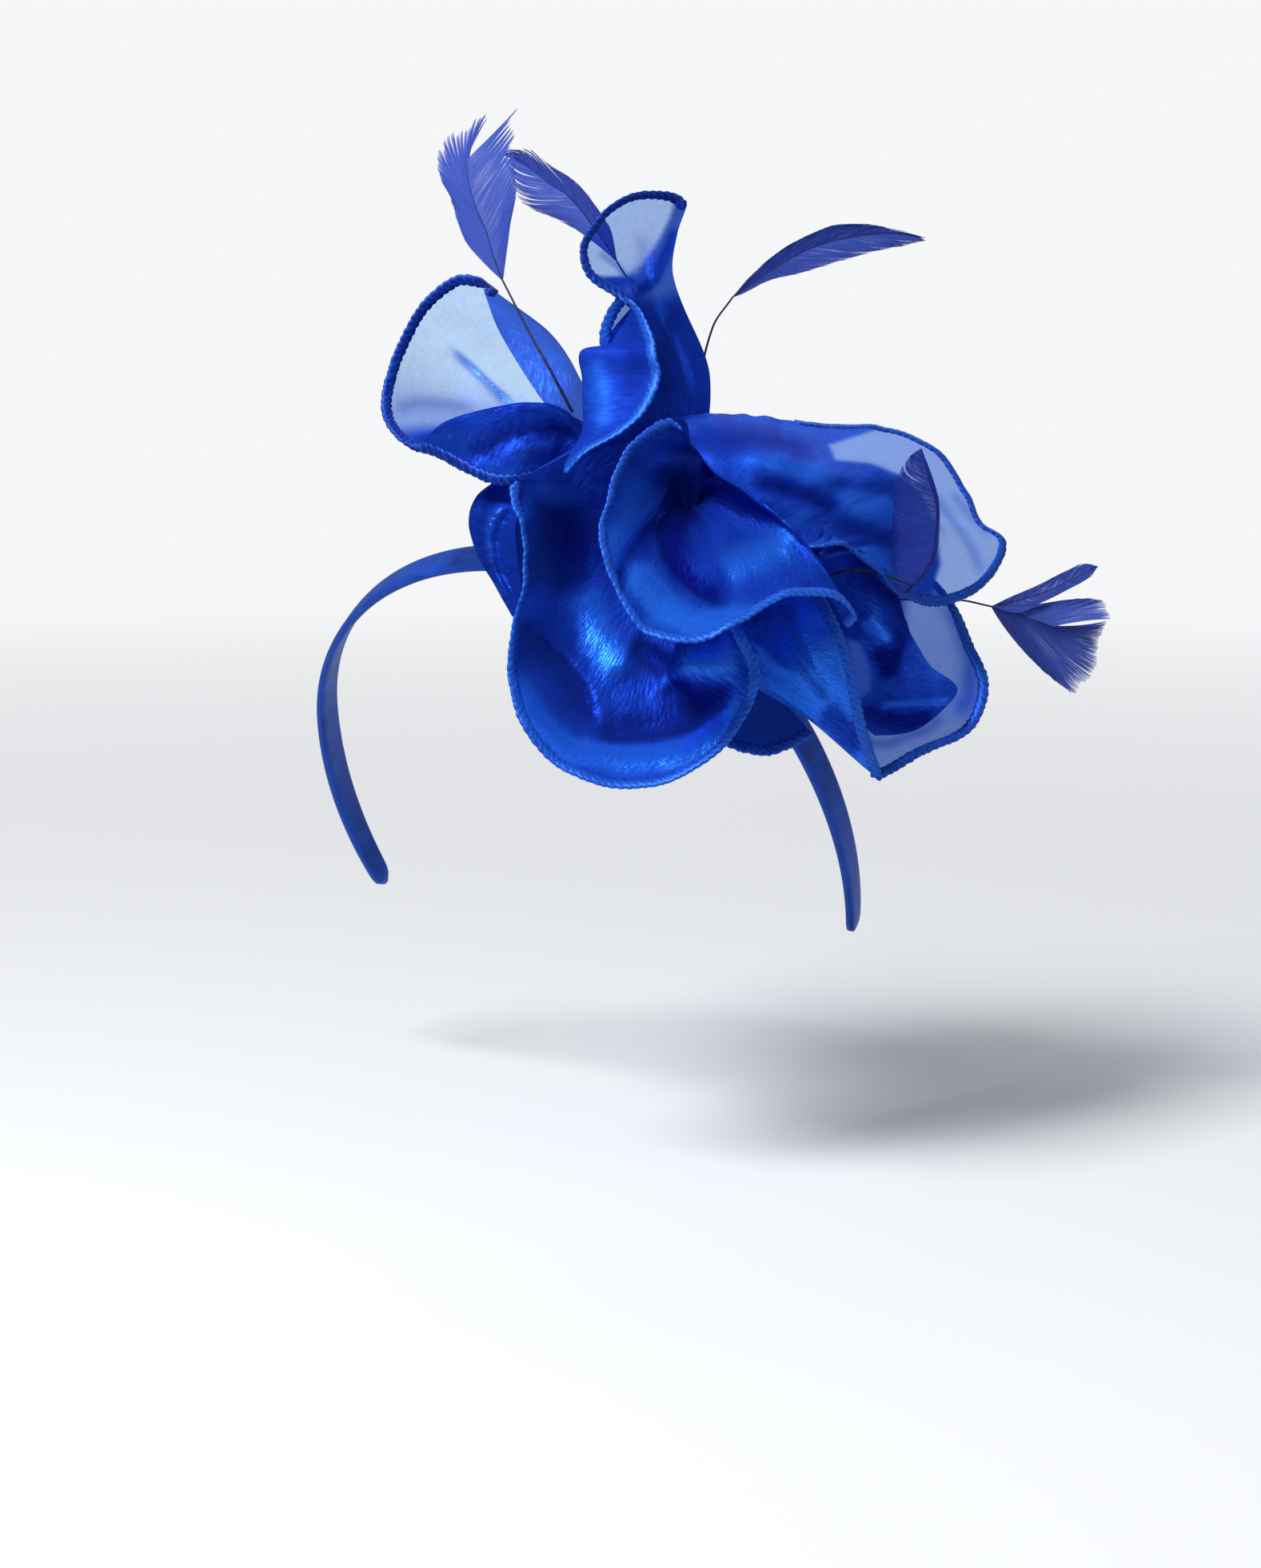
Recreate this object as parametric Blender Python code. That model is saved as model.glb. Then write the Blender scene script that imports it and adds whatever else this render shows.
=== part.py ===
"""Hatinator: an organza rosette with five cut feathers, sewn to a satin covered alice band.

The origin is the inner face of the band at its top centre, where it sits on the head. +Z is up,
the wearer faces -Y and +X is the wearer's left. All the dimensions below are in millimetres.
"""

from math import cos, pi, radians, sin

import bmesh
import bpy
from mathutils import Matrix, Vector

METRES = 0.001

# The band: an arch round the crown, then two straighter legs that close towards the ears.
crown_radius = 86.0
crown_half_angle = 76.0
leg_radius = 150.0
leg_end_angle = 104.0
band_width = 12.0
band_tip_width = 8.0
band_thickness = 3.0
band_pitch = 30.0
band_steps = 48
band_taper_start = 0.7
band_end_size = 0.45
# Across the band from back to front, as shares of its half width, and up through its thickness.
band_profile = ((-1, 0.3), (-0.82, 0), (0.82, 0), (1, 0.3), (1, 0.62), (0.6, 1), (-0.6, 1), (-1, 0.62))

# The rosette sits off centre on the band and faces forward, to the wearer's left and a little up.
seat_angle = 34.5
facing_turn = 26.0
facing_tilt = 10.0

core_centre = Vector((5.0, 11.0, 12.0))
core_radius = 12.0
core_stem_radius = 8.0
core_first_angle = 140.0
core_last_angle = 14.0
core_bands = 9
core_sides = 16

cloth = 1.2
hem_thickness = 2.2
gap = 0.3
root_clearance = 0.4
pleat_run = 1.15
pleat_hem_loss = 0.6

quill_radius = 0.5
vane_thickness = 1.1
vane_flat = 0.4
feather_steps = 18
lock_steps = 5
sharp_edge = 50.0

# Every loop of the ruffle is a fan of sections. A row is one section through the cloth, and its columns
# are the neck, where the gathers leave the core, the belly and the hem. Each place is across, up and out
# from the seat on the band, as seen by someone whom the rosette faces.
centre_rose = (
    ((13, 37, 33), (14, 37, 38), (14, 36, 43)),
    ((9, 38, 31), (9, 41, 38), (7, 42, 43)),
    ((5, 37, 31), (3, 43, 40), (-1, 49, 46)),
    ((2, 35, 29), (-6, 40, 43), (-13, 41, 54)),
    ((1, 32, 29), (-10, 30, 47), (-19, 24, 64)),
    ((1, 30, 30), (-10, 20, 52), (-20, 13, 70)),
    ((2, 28, 30), (-6, 11, 55), (-15, 0, 75)),
    ((3, 27, 30), (0, 5, 57), (-9, -10, 78)),
    ((5, 26, 30), (8, 4, 57), (4, -14, 80)),
    ((7, 27, 31), (17, 9, 55), (19, -8, 78)),
    ((9, 28, 32), (26, 13, 54), (31, -1, 72)),
    ((10, 30, 34), (33, 15, 54), (39, 0, 68)),
    ((11, 32, 37), (35, 18, 54), (47, -1, 64)),
    ((11, 34, 40), (34, 20, 54), (52, -6, 60)),
)

front_petal = (
    ((-14, 38, 28), (-28, 42, 30), (-45, 34, 36)),
    ((-15, 29, 22), (-32, 31, 26), (-46, 28, 38)),
    ((-16, 22, 18), (-30, 22, 24), (-43, 19, 41)),
    ((-17, 12, 18), (-30, 10, 25), (-43, 5, 44)),
    ((-17, 3, 19), (-31, -4, 27), (-46, -10, 44)),
    ((-16, -4, 20), (-30, -18, 29), (-47, -24, 45)),
    ((-14, -9, 21), (-25, -28, 31), (-41, -40, 48)),
    ((-10, -12, 22), (-15, -35, 33), (-24, -53, 50)),
    ((-5, -13, 22), (-5, -36, 34), (-5, -54, 50)),
    ((0, -12, 23), (3, -33, 34), (10, -47, 51)),
    ((4, -10, 24), (8, -31, 34), (20, -35, 53)),
    ((7, -7, 25), (3, -22, 41), (23, -22, 56)),
    ((8, -4, 26), (4, -12, 43), (20, -11, 57)),
)

point_petal = (
    ((20, -2, 36), (35, -5, 47), (46, -5, 49)),
    ((22, -8, 36), (38, -14, 50), (50, -14, 50)),
    ((23, -13, 36), (39, -22, 50), (53, -25, 48)),
    ((23, -17, 35), (41, -29, 46), (56, -38, 42)),
    ((22, -20, 33), (42, -36, 40), (61, -52, 34)),
    ((20, -21, 30), (35, -35, 33), (50, -44, 33)),
)

inner_petal = (
    ((36, 17, 28), (50, 17, 28), (66, 7, 13)),
    ((37, 10, 25), (56, 7, 28), (69, -2, 19)),
    ((38, 0, 24), (60, -8, 27), (72, -12, 21)),
    ((38, -5, 23), (65, -17, 24), (78, -21, 19)),
    ((37, -9, 22), (68, -24, 19), (86, -28, 15)),
    ((35, -12, 21), (66, -30, 20), (80, -34, 18)),
    ((33, -14, 21), (61, -33, 23), (71, -38, 21)),
    ((31, -15, 22), (52, -33, 25), (60, -40, 26)),
)

right_petal = (
    ((38, 3, 14), (70, 2, 4), (85, 0, -6)),
    ((40, -3, 12), (74, -10, 0), (91, -12, -2)),
    ((40, -9, 11), (76, -22, 0), (95, -25, 4)),
    ((39, -13, 11), (73, -30, 3), (90, -37, 10)),
    ((37, -16, 12), (65, -35, 9), (77, -44, 16)),
    ((34, -18, 14), (57, -40, 16), (62, -52, 22)),
)

left_wing = (
    ((-28, 67, 14), (-41, 82, 8), (-54, 95, 0)),
    ((-33, 65, 4), (-48, 78, -6), (-57, 98, -4)),
    ((-35, 60, 2), (-55, 76, -12), (-65, 99, -6)),
    ((-36, 58, 1), (-61, 74, -14), (-75, 91, -6)),
    ((-36, 57, 2), (-64, 69, -12), (-81, 80, -4)),
    ((-36, 55, 4), (-65, 62, -8), (-86, 65, 0)),
    ((-35, 54, 8), (-63, 56, 0), (-85, 55, 6)),
    ((-33, 53, 14), (-63, 52, 12), (-78, 47, 14)),
    ((-31, 54, 20), (-65, 53, 20), (-69, 44, 20)),
    ((-30, 54, 23), (-56, 55, 24), (-60, 39, 25)),
    ((-29, 53, 25), (-46, 56, 27), (-51, 35, 28)),
    ((-27, 52, 25), (-37, 54, 27), (-43, 36, 28)),
    ((-24, 50, 24), (-29, 50, 25), (-34, 37, 23)),
)

left_lobe = (
    ((-30, 30, 6), (-54, 33, 13), (-49, 31, 24)),
    ((-30, 26, 6), (-58, 28, 16), (-50, 24, 27)),
    ((-30, 20, 6), (-58, 20, 16), (-52, 18, 28)),
    ((-29, 14, 6), (-55, 13, 16), (-50, 10, 28)),
    ((-28, 8, 6), (-50, 3, 18), (-47, 1, 28)),
    ((-27, 4, 8), (-46, -5, 20), (-43, -5, 27)),
)

under_lobe = (
    ((6, -5, 14), (12, -30, 20), (13, -40, 25)),
    ((9, -6, 14), (17, -33, 21), (21, -44, 25)),
    ((12, -6, 14), (22, -34, 21), (28, -45, 25)),
    ((15, -5, 14), (28, -32, 20), (35, -43, 24)),
    ((17, -4, 13), (33, -29, 19), (42, -39, 22)),
)

back_petal_left = (
    ((-10, 16, -6), (-26, 14, -14), (-40, 12, -18)),
    ((-12, 22, -8), (-32, 24, -22), (-48, 24, -26)),
    ((-10, 27, -10), (-28, 34, -26), (-44, 40, -36)),
    ((-7, 30, -11), (-20, 40, -30), (-30, 52, -38)),
    ((-4, 32, -11), (-10, 42, -32), (-16, 52, -46)),
    ((0, 33, -10), (-2, 44, -28), (-4, 52, -36)),
)

back_petal_right = (
    ((8, 32, -8), (8, 42, -24), (8, 50, -36)),
    ((13, 30, -9), (20, 42, -30), (22, 51, -46)),
    ((18, 26, -9), (34, 38, -30), (40, 46, -40)),
    ((21, 21, -8), (44, 31, -26), (54, 36, -40)),
    ((23, 15, -6), (50, 22, -18), (62, 22, -28)),
)

# The top cornet has a waist, where the strip is twisted. Its columns are base, waist, belly and hem.
top_loop = (
    ((11, 66, 16), (0, 99, 16), (2, 109, 18), (5, 118, 18)),
    ((7, 72, 6), (-3, 98, 9), (-2, 111, 8), (-1, 121, 20)),
    ((1, 73, 2), (-6, 97, 8), (-10, 109, 8), (-12, 119, 26)),
    ((-6, 75, 2), (-8, 95, 12), (-16, 105, 14), (-21, 112, 28)),
    ((-15, 77, 4), (-10, 93, 18), (-19, 100, 21), (-26, 103, 30)),
    ((-19, 76, 10), (-10, 91, 24), (-17, 95, 27), (-24, 95, 31)),
    ((-15, 72, 16), (-10, 89, 29), (-13, 90, 31), (-15, 89, 32)),
)

# The lobe in front of it is folded over at its left edge. Its columns are behind, fold and hem.
top_fold = (
    ((-13, 76, 20), (-19, 79, 26), (-10, 85, 35)),
    ((-12, 72, 22), (-25, 73, 30), (-6, 77, 39)),
    ((-11, 66, 22), (-26, 66, 31), (-4, 66, 43)),
    ((-11, 60, 22), (-26, 58, 33), (-6, 58, 44)),
    ((-11, 54, 22), (-26, 51, 34), (-13, 49, 45)),
    ((-12, 50, 24), (-27, 46, 36), (-24, 43, 45)),
    ((-13, 46, 26), (-29, 41, 38), (-31, 36, 43)),
)

# The loop over the rose comes up under its own crest, rolls over it and sweeps out to its far hem.
# Its columns are under, crest, belly and hem.
over_petal = (
    ((10, 48, 30), (6, 44, 47), (4, 52, 38), (-5, 54, 26)),
    ((16, 43, 38), (12, 36, 53), (15, 47, 44), (14, 56, 18)),
    ((24, 38, 42), (22, 30, 58), (30, 42, 46), (30, 56, 6)),
    ((30, 34, 44), (29, 25, 61), (42, 38, 42), (48, 55, -12)),
    ((34, 31, 45), (33, 22, 62), (52, 36, 34), (67, 55, -24)),
    ((37, 29, 46), (36, 20, 62), (60, 32, 28), (84, 46, -24)),
    ((39, 27, 46), (38, 18, 62), (66, 28, 22), (93, 30, -20)),
    ((41, 25, 46), (40, 16, 62), (68, 24, 20), (101, 20, -15)),
    ((43, 23, 46), (41, 14, 61), (66, 18, 22), (93, 4, -8)),
    ((44, 21, 46), (42, 12, 60), (60, 13, 30), (80, 0, 4)),
    ((45, 19, 46), (43, 11, 58), (55, 13, 38), (67, 3, 22)),
    ((46, 18, 46), (44, 11, 56), (50, 14, 45), (56, 11, 38)),
)

# How finely each loop is made, how many small gathers it has and how deep they are, and how far apart
# its sections are stitched into the core, from all at one place to as wide as their necks.
# Columns: name, sections, steps along, steps across, gathers, gather depth, spread.
loops = (
    ("left_wing", left_wing, 26, 8, 5, 1.0, 0.4),
    ("top_loop", top_loop, 18, 12, 0, 0.0, 0.3),
    ("top_fold", top_fold, 14, 10, 0, 0.0, 0.4),
    ("centre_rose", centre_rose, 28, 9, 5, 0.8, 0.5),
    ("over_petal", over_petal, 24, 12, 0, 0.0, 0.4),
    ("front_petal", front_petal, 27, 9, 5, 1.2, 0.35),
    ("point_petal", point_petal, 14, 7, 0, 0.0, 0.5),
    ("inner_petal", inner_petal, 14, 7, 0, 0.0, 0.5),
    ("right_petal", right_petal, 16, 8, 3, 1.0, 0.5),
    ("left_lobe", left_lobe, 12, 8, 0, 0.0, 0.4),
    ("under_lobe", under_lobe, 10, 6, 0, 0.0, 0.6),
    ("back_petal_left", back_petal_left, 12, 6, 0, 0.0, 0.6),
    ("back_petal_right", back_petal_right, 12, 6, 0, 0.0, 0.6),
)

# A feather is one or more locks on a quill. A row is a place on a lock's rib, and its columns are across,
# up, out and the vane's reach to the left and to the right, looking from the quill to the tip.
feather_1 = (
    ((-29, 55.5, 27, 0, 0), (-35, 72, 25, 0, 0), (-49, 95, 15, 0, 0), (-52, 101, 12, 3, 3),
     (-55, 108, 12, 6, 7), (-57, 117, 12, 7, 11), (-58, 123, 12, 8, 12), (-60, 129, 12, 8, 12)),
    ((-60, 118, 11.6, 3, 3), (-66, 127, 11.2, 3, 3), (-70, 134, 10.8, 0, 0)),
    ((-58, 121, 12.5, 4, 4), (-62, 133, 12.9, 3, 3), (-64, 141, 13.2, 0, 0)),
    ((-55, 122, 11.7, 4, 4), (-55, 134, 11.4, 4, 4), (-54, 147, 11, 0, 0)),
    ((-50, 120, 12.4, 4, 4), (-49, 134, 12.7, 3, 3), (-47, 147, 13.1, 0, 0)),
)

feather_2 = (
    ((3, 22.4, 8, 0, 0), (0, 42, -3, 0, 0), (-3, 64, -8, 0, 0), (-12, 97, -12, 0, 0), (-17, 108, -12, 4, 4),
     (-23, 116, -12, 5, 5), (-29, 123, -12, 6, 6), (-36, 128, -12, 7, 7), (-43, 132, -12, 6, 6),
     (-50, 137, -12, 2, 2)),
)

feather_3 = (
    ((7, 22.4, 8, 0, 0), (9, 42, 1, 0, 0), (9, 66, -2, 0, 0), (19, 93, -2, 0, 0), (26, 98, -2, 2, 2),
     (34, 103, -2, 4, 4), (44, 108, -2, 5, 5), (56, 111, -2, 4, 5), (66, 112, -2, 3, 3),
     (76, 111, -2, 0, 0)),
)

feather_4 = (
    ((15.6, 9.3, 18.4, 0, 0), (36, 3, 32, 0, 0), (50, 7, 38, 0, 0), (58, 8, 37, 0, 0), (66, 7, 32, 0, 0),
     (72, 9, 30, 4, 0), (76, 16, 29, 9, 0), (78, 24, 28, 11, 0), (77, 35, 26, 10, 0), (76, 41, 24, 6, 0),
     (75, 46, 22, 0, 0)),
)

feather_5 = (
    ((16, 9, 7, 0, 0), (40, 3, 0, 0, 0), (66, 2, -8, 0, 0), (89, 1, -12, 0, 0), (98, -1, -12, 0, 0),
     (108, -4, -12, 4, 4), (118, -8, -12, 8, 8), (127, -12, -12, 11, 11), (131, -14, -12, 11, 11)),
    ((96, -0.8, -12.2, 0, 0), (113, 4, -11, 3, 3), (123, 9, -10, 3, 3), (130, 12, -9, 0, 0)),
)

royal_blue = (0.010, 0.060, 0.400, 1.0)
satin_blue = (0.012, 0.050, 0.330, 1.0)
feather_blue = (0.030, 0.045, 0.260, 1.0)

organza_roughness = 0.35
satin_roughness = 0.3
plume_roughness = 0.7


def clear_scene():
    for old in list(bpy.data.objects):
        bpy.data.objects.remove(old)


def material(name, colour, roughness):
    made = bpy.data.materials.new(name)
    made.use_nodes = True
    shader = made.node_tree.nodes["Principled BSDF"]
    shader.inputs["Base Color"].default_value = colour
    shader.inputs["Roughness"].default_value = roughness
    shader.inputs["Metallic"].default_value = 0.0
    return made


def arch_point(angle, height):
    """A place on the band's middle line, the given height above its inner face, in the band's plane."""
    crown = min(abs(angle), crown_half_angle)
    across = crown_radius * sin(radians(crown))
    up = crown_radius * (cos(radians(crown)) - 1.0)
    if abs(angle) > crown_half_angle:
        across += leg_radius * (sin(radians(abs(angle))) - sin(radians(crown_half_angle)))
        up += leg_radius * (cos(radians(abs(angle))) - cos(radians(crown_half_angle)))
    across += height * sin(radians(abs(angle)))
    up += height * cos(radians(abs(angle)))
    return Vector((across if angle >= 0 else -across, 0.0, up))


def band_tilt():
    return Matrix.Rotation(radians(band_pitch), 3, "X")


def rosette_frame():
    """The matrix from the rosette's across, up and out to the part's frame, in millimetres."""
    turn = radians(facing_turn)
    tilt = radians(facing_tilt)
    across = Vector((cos(turn), sin(turn), 0.0))
    out = Vector((sin(turn) * cos(tilt), -cos(turn) * cos(tilt), sin(tilt)))
    up = out.cross(across)
    axes = Matrix((across, up, out)).transposed()
    seat = band_tilt() @ arch_point(seat_angle, band_thickness)
    return Matrix.Translation(seat) @ axes.to_4x4()


def chord_knots(places):
    """How far along the run each place is, measured over the straight chords."""
    knots = [0.0]
    for a, b in zip(places, places[1:]):
        knots.append(knots[-1] + max((b - a).length, 0.01))
    return knots


def mean_knots(runs):
    """The knots that several runs of places share."""
    return [sum(knots) / len(runs) for knots in zip(*(chord_knots(run) for run in runs))]


def curve_through(places, steps, knots):
    """Points on a smooth curve through the places, at even steps of its knots."""
    last = len(places) - 1
    slopes = []
    for i in range(last + 1):
        before = max(i - 1, 0)
        after = min(i + 1, last)
        slopes.append((places[after] - places[before]) / (knots[after] - knots[before]))
    points = []
    piece = 0
    for step in range(steps + 1):
        at = knots[-1] * step / steps
        while piece < last - 1 and at > knots[piece + 1]:
            piece += 1
        span = knots[piece + 1] - knots[piece]
        t = (at - knots[piece]) / span
        start = 2 * t**3 - 3 * t**2 + 1
        leave = (t**3 - 2 * t**2 + t) * span
        arrive = (t**3 - t**2) * span
        points.append(start * places[piece] + leave * slopes[piece]
                      + (1 - start) * places[piece + 1] + arrive * slopes[piece + 1])
    return points


def root_on_core(neck, middle, spread):
    """Where a section is stitched into the core, drawn in towards the middle of the loop."""
    way = middle.lerp(neck, spread) - core_centre
    return core_centre + way.normalized() * (core_radius + root_clearance)


def cloth_grid(rows, along, across, spread):
    """The middle surface of a loop: a list of sections, each a list of points from the core to the hem."""
    sections = [[Vector(place) for place in row] for row in rows]
    middle = sum((section[0] for section in sections), Vector()) / len(sections)
    sections = [[root_on_core(section[0], middle, spread)] + section for section in sections]
    rib_knots = mean_knots(sections)
    line_knots = mean_knots(list(zip(*sections)))
    ribs = [curve_through(section, across, rib_knots) for section in sections]
    lines = [curve_through([rib[j] for rib in ribs], along, line_knots) for j in range(across + 1)]
    return [[line[i] for line in lines] for i in range(along + 1)]


def pleat(grid, normals, pleats, depth):
    """Small gathers that are deepest near the core and run out before the hem."""
    along = len(grid) - 1
    across = len(grid[0]) - 1
    for i in range(along + 1):
        wave = sin(2 * pi * pleats * i / along)
        for j in range(across + 1):
            s = j / across
            fade = sin(pi * min(1.0, s * pleat_run)) * (1.0 - pleat_hem_loss * s)
            grid[i][j] = grid[i][j] + normals[i][j] * (depth * wave * fade)


def grid_normals(grid):
    along = len(grid) - 1
    across = len(grid[0]) - 1
    normals = []
    for i in range(along + 1):
        line = []
        for j in range(across + 1):
            run = grid[min(i + 1, along)][j] - grid[max(i - 1, 0)][j]
            rise = grid[i][min(j + 1, across)] - grid[i][max(j - 1, 0)]
            line.append(run.cross(rise).normalized())
        normals.append(line)
    return normals


def add_object(name, bm, finish, frame):
    bmesh.ops.transform(bm, matrix=Matrix.Scale(METRES, 4) @ frame, verts=bm.verts)
    bmesh.ops.recalc_face_normals(bm, faces=bm.faces)
    mesh = bpy.data.meshes.new(name)
    bm.to_mesh(mesh)
    bm.free()
    mesh.shade_smooth()
    mesh.set_sharp_from_angle(angle=radians(sharp_edge))
    made = bpy.data.objects.new(name, mesh)
    mesh.materials.append(finish)
    bpy.context.scene.collection.objects.link(made)
    return made


def cloth_wall(finish, frame, name, rows, along, across, pleats, depth, spread):
    """A loop of cloth with its real thickness and a thicker rolled hem along its last line."""
    grid = cloth_grid(rows, along, across, spread)
    if pleats:
        pleat(grid, grid_normals(grid), pleats, depth)
    normals = grid_normals(grid)
    bm = bmesh.new()
    sides = []
    for side in (1, -1):
        verts = []
        for i in range(along + 1):
            line = []
            for j in range(across + 1):
                thick = hem_thickness if j == across else cloth
                line.append(bm.verts.new(grid[i][j] + normals[i][j] * (side * thick / 2)))
            verts.append(line)
        sides.append(verts)
    front, back = sides
    for i in range(along):
        for j in range(across):
            bm.faces.new((front[i][j], front[i + 1][j], front[i + 1][j + 1], front[i][j + 1]))
            bm.faces.new((back[i][j], back[i][j + 1], back[i + 1][j + 1], back[i + 1][j]))
    for j in range(across):
        for i in (0, along):
            bm.faces.new((front[i][j], front[i][j + 1], back[i][j + 1], back[i][j]))
    for i in range(along):
        for j in (0, across):
            bm.faces.new((front[i][j], front[i + 1][j], back[i + 1][j], back[i][j]))
    return add_object(name, bm, finish, frame)


def skin(bm, rings):
    """Joins a run of closed rings into one skin and closes both ends."""
    count = len(rings[0])
    for a, b in zip(rings, rings[1:]):
        for k in range(count):
            n = (k + 1) % count
            bm.faces.new((a[k], a[n], b[n], b[k]))
    bm.faces.new(rings[0])
    bm.faces.new(rings[-1][::-1])


def headband(finish):
    """The padded band: a rounded flat section carried round the arch and narrowed to each tip."""
    bm = bmesh.new()
    rings = []
    for step in range(band_steps + 1):
        share = 2.0 * step / band_steps - 1.0
        angle = share * leg_end_angle
        taper = max(0.0, abs(share) - band_taper_start) / (1.0 - band_taper_start)
        end = band_end_size if step in (0, band_steps) else 1.0
        half = (band_width + (band_tip_width - band_width) * taper**2) / 2 * end
        thick = band_thickness * end
        lift = (band_thickness - thick) / 2
        ring = []
        for front, height in band_profile:
            place = arch_point(angle, lift + thick * height)
            ring.append(bm.verts.new(place + Vector((0.0, -half * front, 0.0))))
        rings.append(ring)
    skin(bm, rings)
    return add_object("headband", bm, finish, band_tilt().to_4x4())


def sewn_core(finish, frame):
    """The gathered knot: a stem on the band with a round head that the loops are stitched into."""
    band_outward = band_tilt() @ Vector((sin(radians(seat_angle)), 0.0, cos(radians(seat_angle))))
    outward = frame.to_3x3().inverted() @ band_outward
    base = outward * gap
    towards = (core_centre - base).normalized()
    stations = [(base, outward, core_stem_radius)]
    for step in range(core_bands + 1):
        share = step / core_bands
        polar = radians(core_first_angle + (core_last_angle - core_first_angle) * share)
        centre = core_centre + towards * (core_radius * cos(polar))
        stations.append((centre, towards, core_radius * sin(polar)))
    bm = bmesh.new()
    rings = []
    for centre, axis, radius in stations:
        side = axis.cross(Vector((0.0, 1.0, 0.0))).normalized()
        other = axis.cross(side)
        ring = []
        for k in range(core_sides):
            angle = 2 * pi * k / core_sides
            ring.append(bm.verts.new(centre + (side * cos(angle) + other * sin(angle)) * radius))
        rings.append(ring)
    skin(bm, rings)
    return add_object("sewn_core", bm, finish, frame)


def lock(name, rows, finish, frame, steps):
    """One lock of a feather: a flat lens of a section along a curved rib, round where the quill is bare."""
    places = [Vector(row[:3]) for row in rows]
    reaches = [Vector((row[3], row[4], 0.0)) for row in rows]
    knots = chord_knots(places)
    rib = curve_through(places, steps, knots)
    vane = curve_through(reaches, steps, knots)
    outward = Vector((0.0, 0.0, 1.0))
    thick = vane_thickness / 2
    bm = bmesh.new()
    rings = []
    for i, (place, reach) in enumerate(zip(rib, vane)):
        way = (rib[min(i + 1, steps)] - rib[max(i - 1, 0)]).normalized()
        sideways = way.cross(outward).normalized()
        lift = sideways.cross(way).normalized()
        left = max(reach.x, quill_radius)
        right = max(reach.y, quill_radius)
        ring = []
        for aside, height in ((right, 0.0), (right * vane_flat, -thick), (-left * vane_flat, -thick),
                              (-left, 0.0), (-left * vane_flat, thick), (right * vane_flat, thick)):
            ring.append(bm.verts.new(place + sideways * aside + lift * height))
        rings.append(ring)
    skin(bm, rings)
    return add_object(name, bm, finish, frame)


def feather(name, locks, finish, frame):
    """A quill with its locks fused into one body."""
    whole = lock(name, locks[0], finish, frame, feather_steps)
    for number, rows in enumerate(locks[1:], start=1):
        extra = lock(name + ".lock" + str(number), rows, finish, frame, lock_steps)
        extra.hide_render = True
        extra.display_type = "WIRE"
        join = whole.modifiers.new("join " + str(number), "BOOLEAN")
        join.operation = "UNION"
        join.object = extra
    return whole


def main():
    clear_scene()
    organza = material("organza", royal_blue, organza_roughness)
    satin = material("satin", satin_blue, satin_roughness)
    plume = material("feather", feather_blue, plume_roughness)
    frame = rosette_frame()

    headband(satin)
    sewn_core(organza, frame)
    for loop in loops:
        cloth_wall(organza, frame, *loop)
    for number, locks in enumerate((feather_1, feather_2, feather_3, feather_4, feather_5), start=1):
        feather("feather_" + str(number), locks, plume, frame)


main()
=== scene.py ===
import random
from math import cos, exp, pi, radians, sin

import bpy
from mathutils import Matrix, Vector, noise


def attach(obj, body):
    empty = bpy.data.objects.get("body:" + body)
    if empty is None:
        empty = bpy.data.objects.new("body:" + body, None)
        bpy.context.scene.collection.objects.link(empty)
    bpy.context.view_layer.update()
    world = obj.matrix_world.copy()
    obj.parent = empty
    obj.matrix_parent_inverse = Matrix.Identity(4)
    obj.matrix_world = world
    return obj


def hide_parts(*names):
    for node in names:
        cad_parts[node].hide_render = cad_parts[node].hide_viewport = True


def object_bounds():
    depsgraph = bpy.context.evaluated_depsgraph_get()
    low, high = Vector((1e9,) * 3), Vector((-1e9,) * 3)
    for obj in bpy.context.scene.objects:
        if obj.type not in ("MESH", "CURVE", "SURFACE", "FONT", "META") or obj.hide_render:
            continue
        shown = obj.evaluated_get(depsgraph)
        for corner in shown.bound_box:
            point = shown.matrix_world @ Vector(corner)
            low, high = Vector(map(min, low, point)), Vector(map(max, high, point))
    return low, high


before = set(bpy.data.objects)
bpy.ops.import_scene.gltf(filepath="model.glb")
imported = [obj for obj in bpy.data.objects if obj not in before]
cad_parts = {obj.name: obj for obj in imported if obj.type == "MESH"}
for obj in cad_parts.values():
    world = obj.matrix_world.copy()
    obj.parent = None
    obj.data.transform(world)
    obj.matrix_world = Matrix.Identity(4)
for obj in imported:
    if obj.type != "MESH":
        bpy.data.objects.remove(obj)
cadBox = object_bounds()
print("frame loaded")

mm = 0.001  # all the sizes below are in millimetres

# where the rosette is sewn on: the seat on the band's arch, and the way the rosette faces
seat = {"crown": 86, "thick": 3, "pitch": 30, "angle": 34.5, "turn": 26, "tilt": 10}

core = {"centre": Vector((5, 11, 12)), "radius": 12, "stem": 8, "clearance": 0.4, "gap": 0.3,
        "rings": 30, "sides": 96, "open": 140, "shut": 4, "tucks": 16, "tuckDepth": 0.05}


def bandTilt():
    return Matrix.Rotation(radians(seat["pitch"]), 3, "X")


def facingAxes():  # across, up and out, as seen by someone whom the rosette faces
    turn = radians(seat["turn"])
    tilt = radians(seat["tilt"])
    across = Vector((cos(turn), sin(turn), 0))
    out = Vector((sin(turn) * cos(tilt), -cos(turn) * cos(tilt), sin(tilt)))
    return across, out.cross(across), out


def rosetteFrame():
    across, up, out = facingAxes()
    angle = radians(seat["angle"])
    height = seat["crown"] + seat["thick"]
    place = bandTilt() @ Vector((height * sin(angle), 0, height * cos(angle) - seat["crown"]))
    return Matrix.Translation(place) @ Matrix((across, up, out)).transposed().to_4x4()


rosette = rosetteFrame()


# curves

def chordKnots(places):
    knots = [0.0]
    for a, b in zip(places, places[1:]):
        knots.append(knots[-1] + max((b - a).length, 0.01))
    return knots


def meanKnots(runs):
    return [sum(knots) / len(runs) for knots in zip(*(chordKnots(run) for run in runs))]


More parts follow.
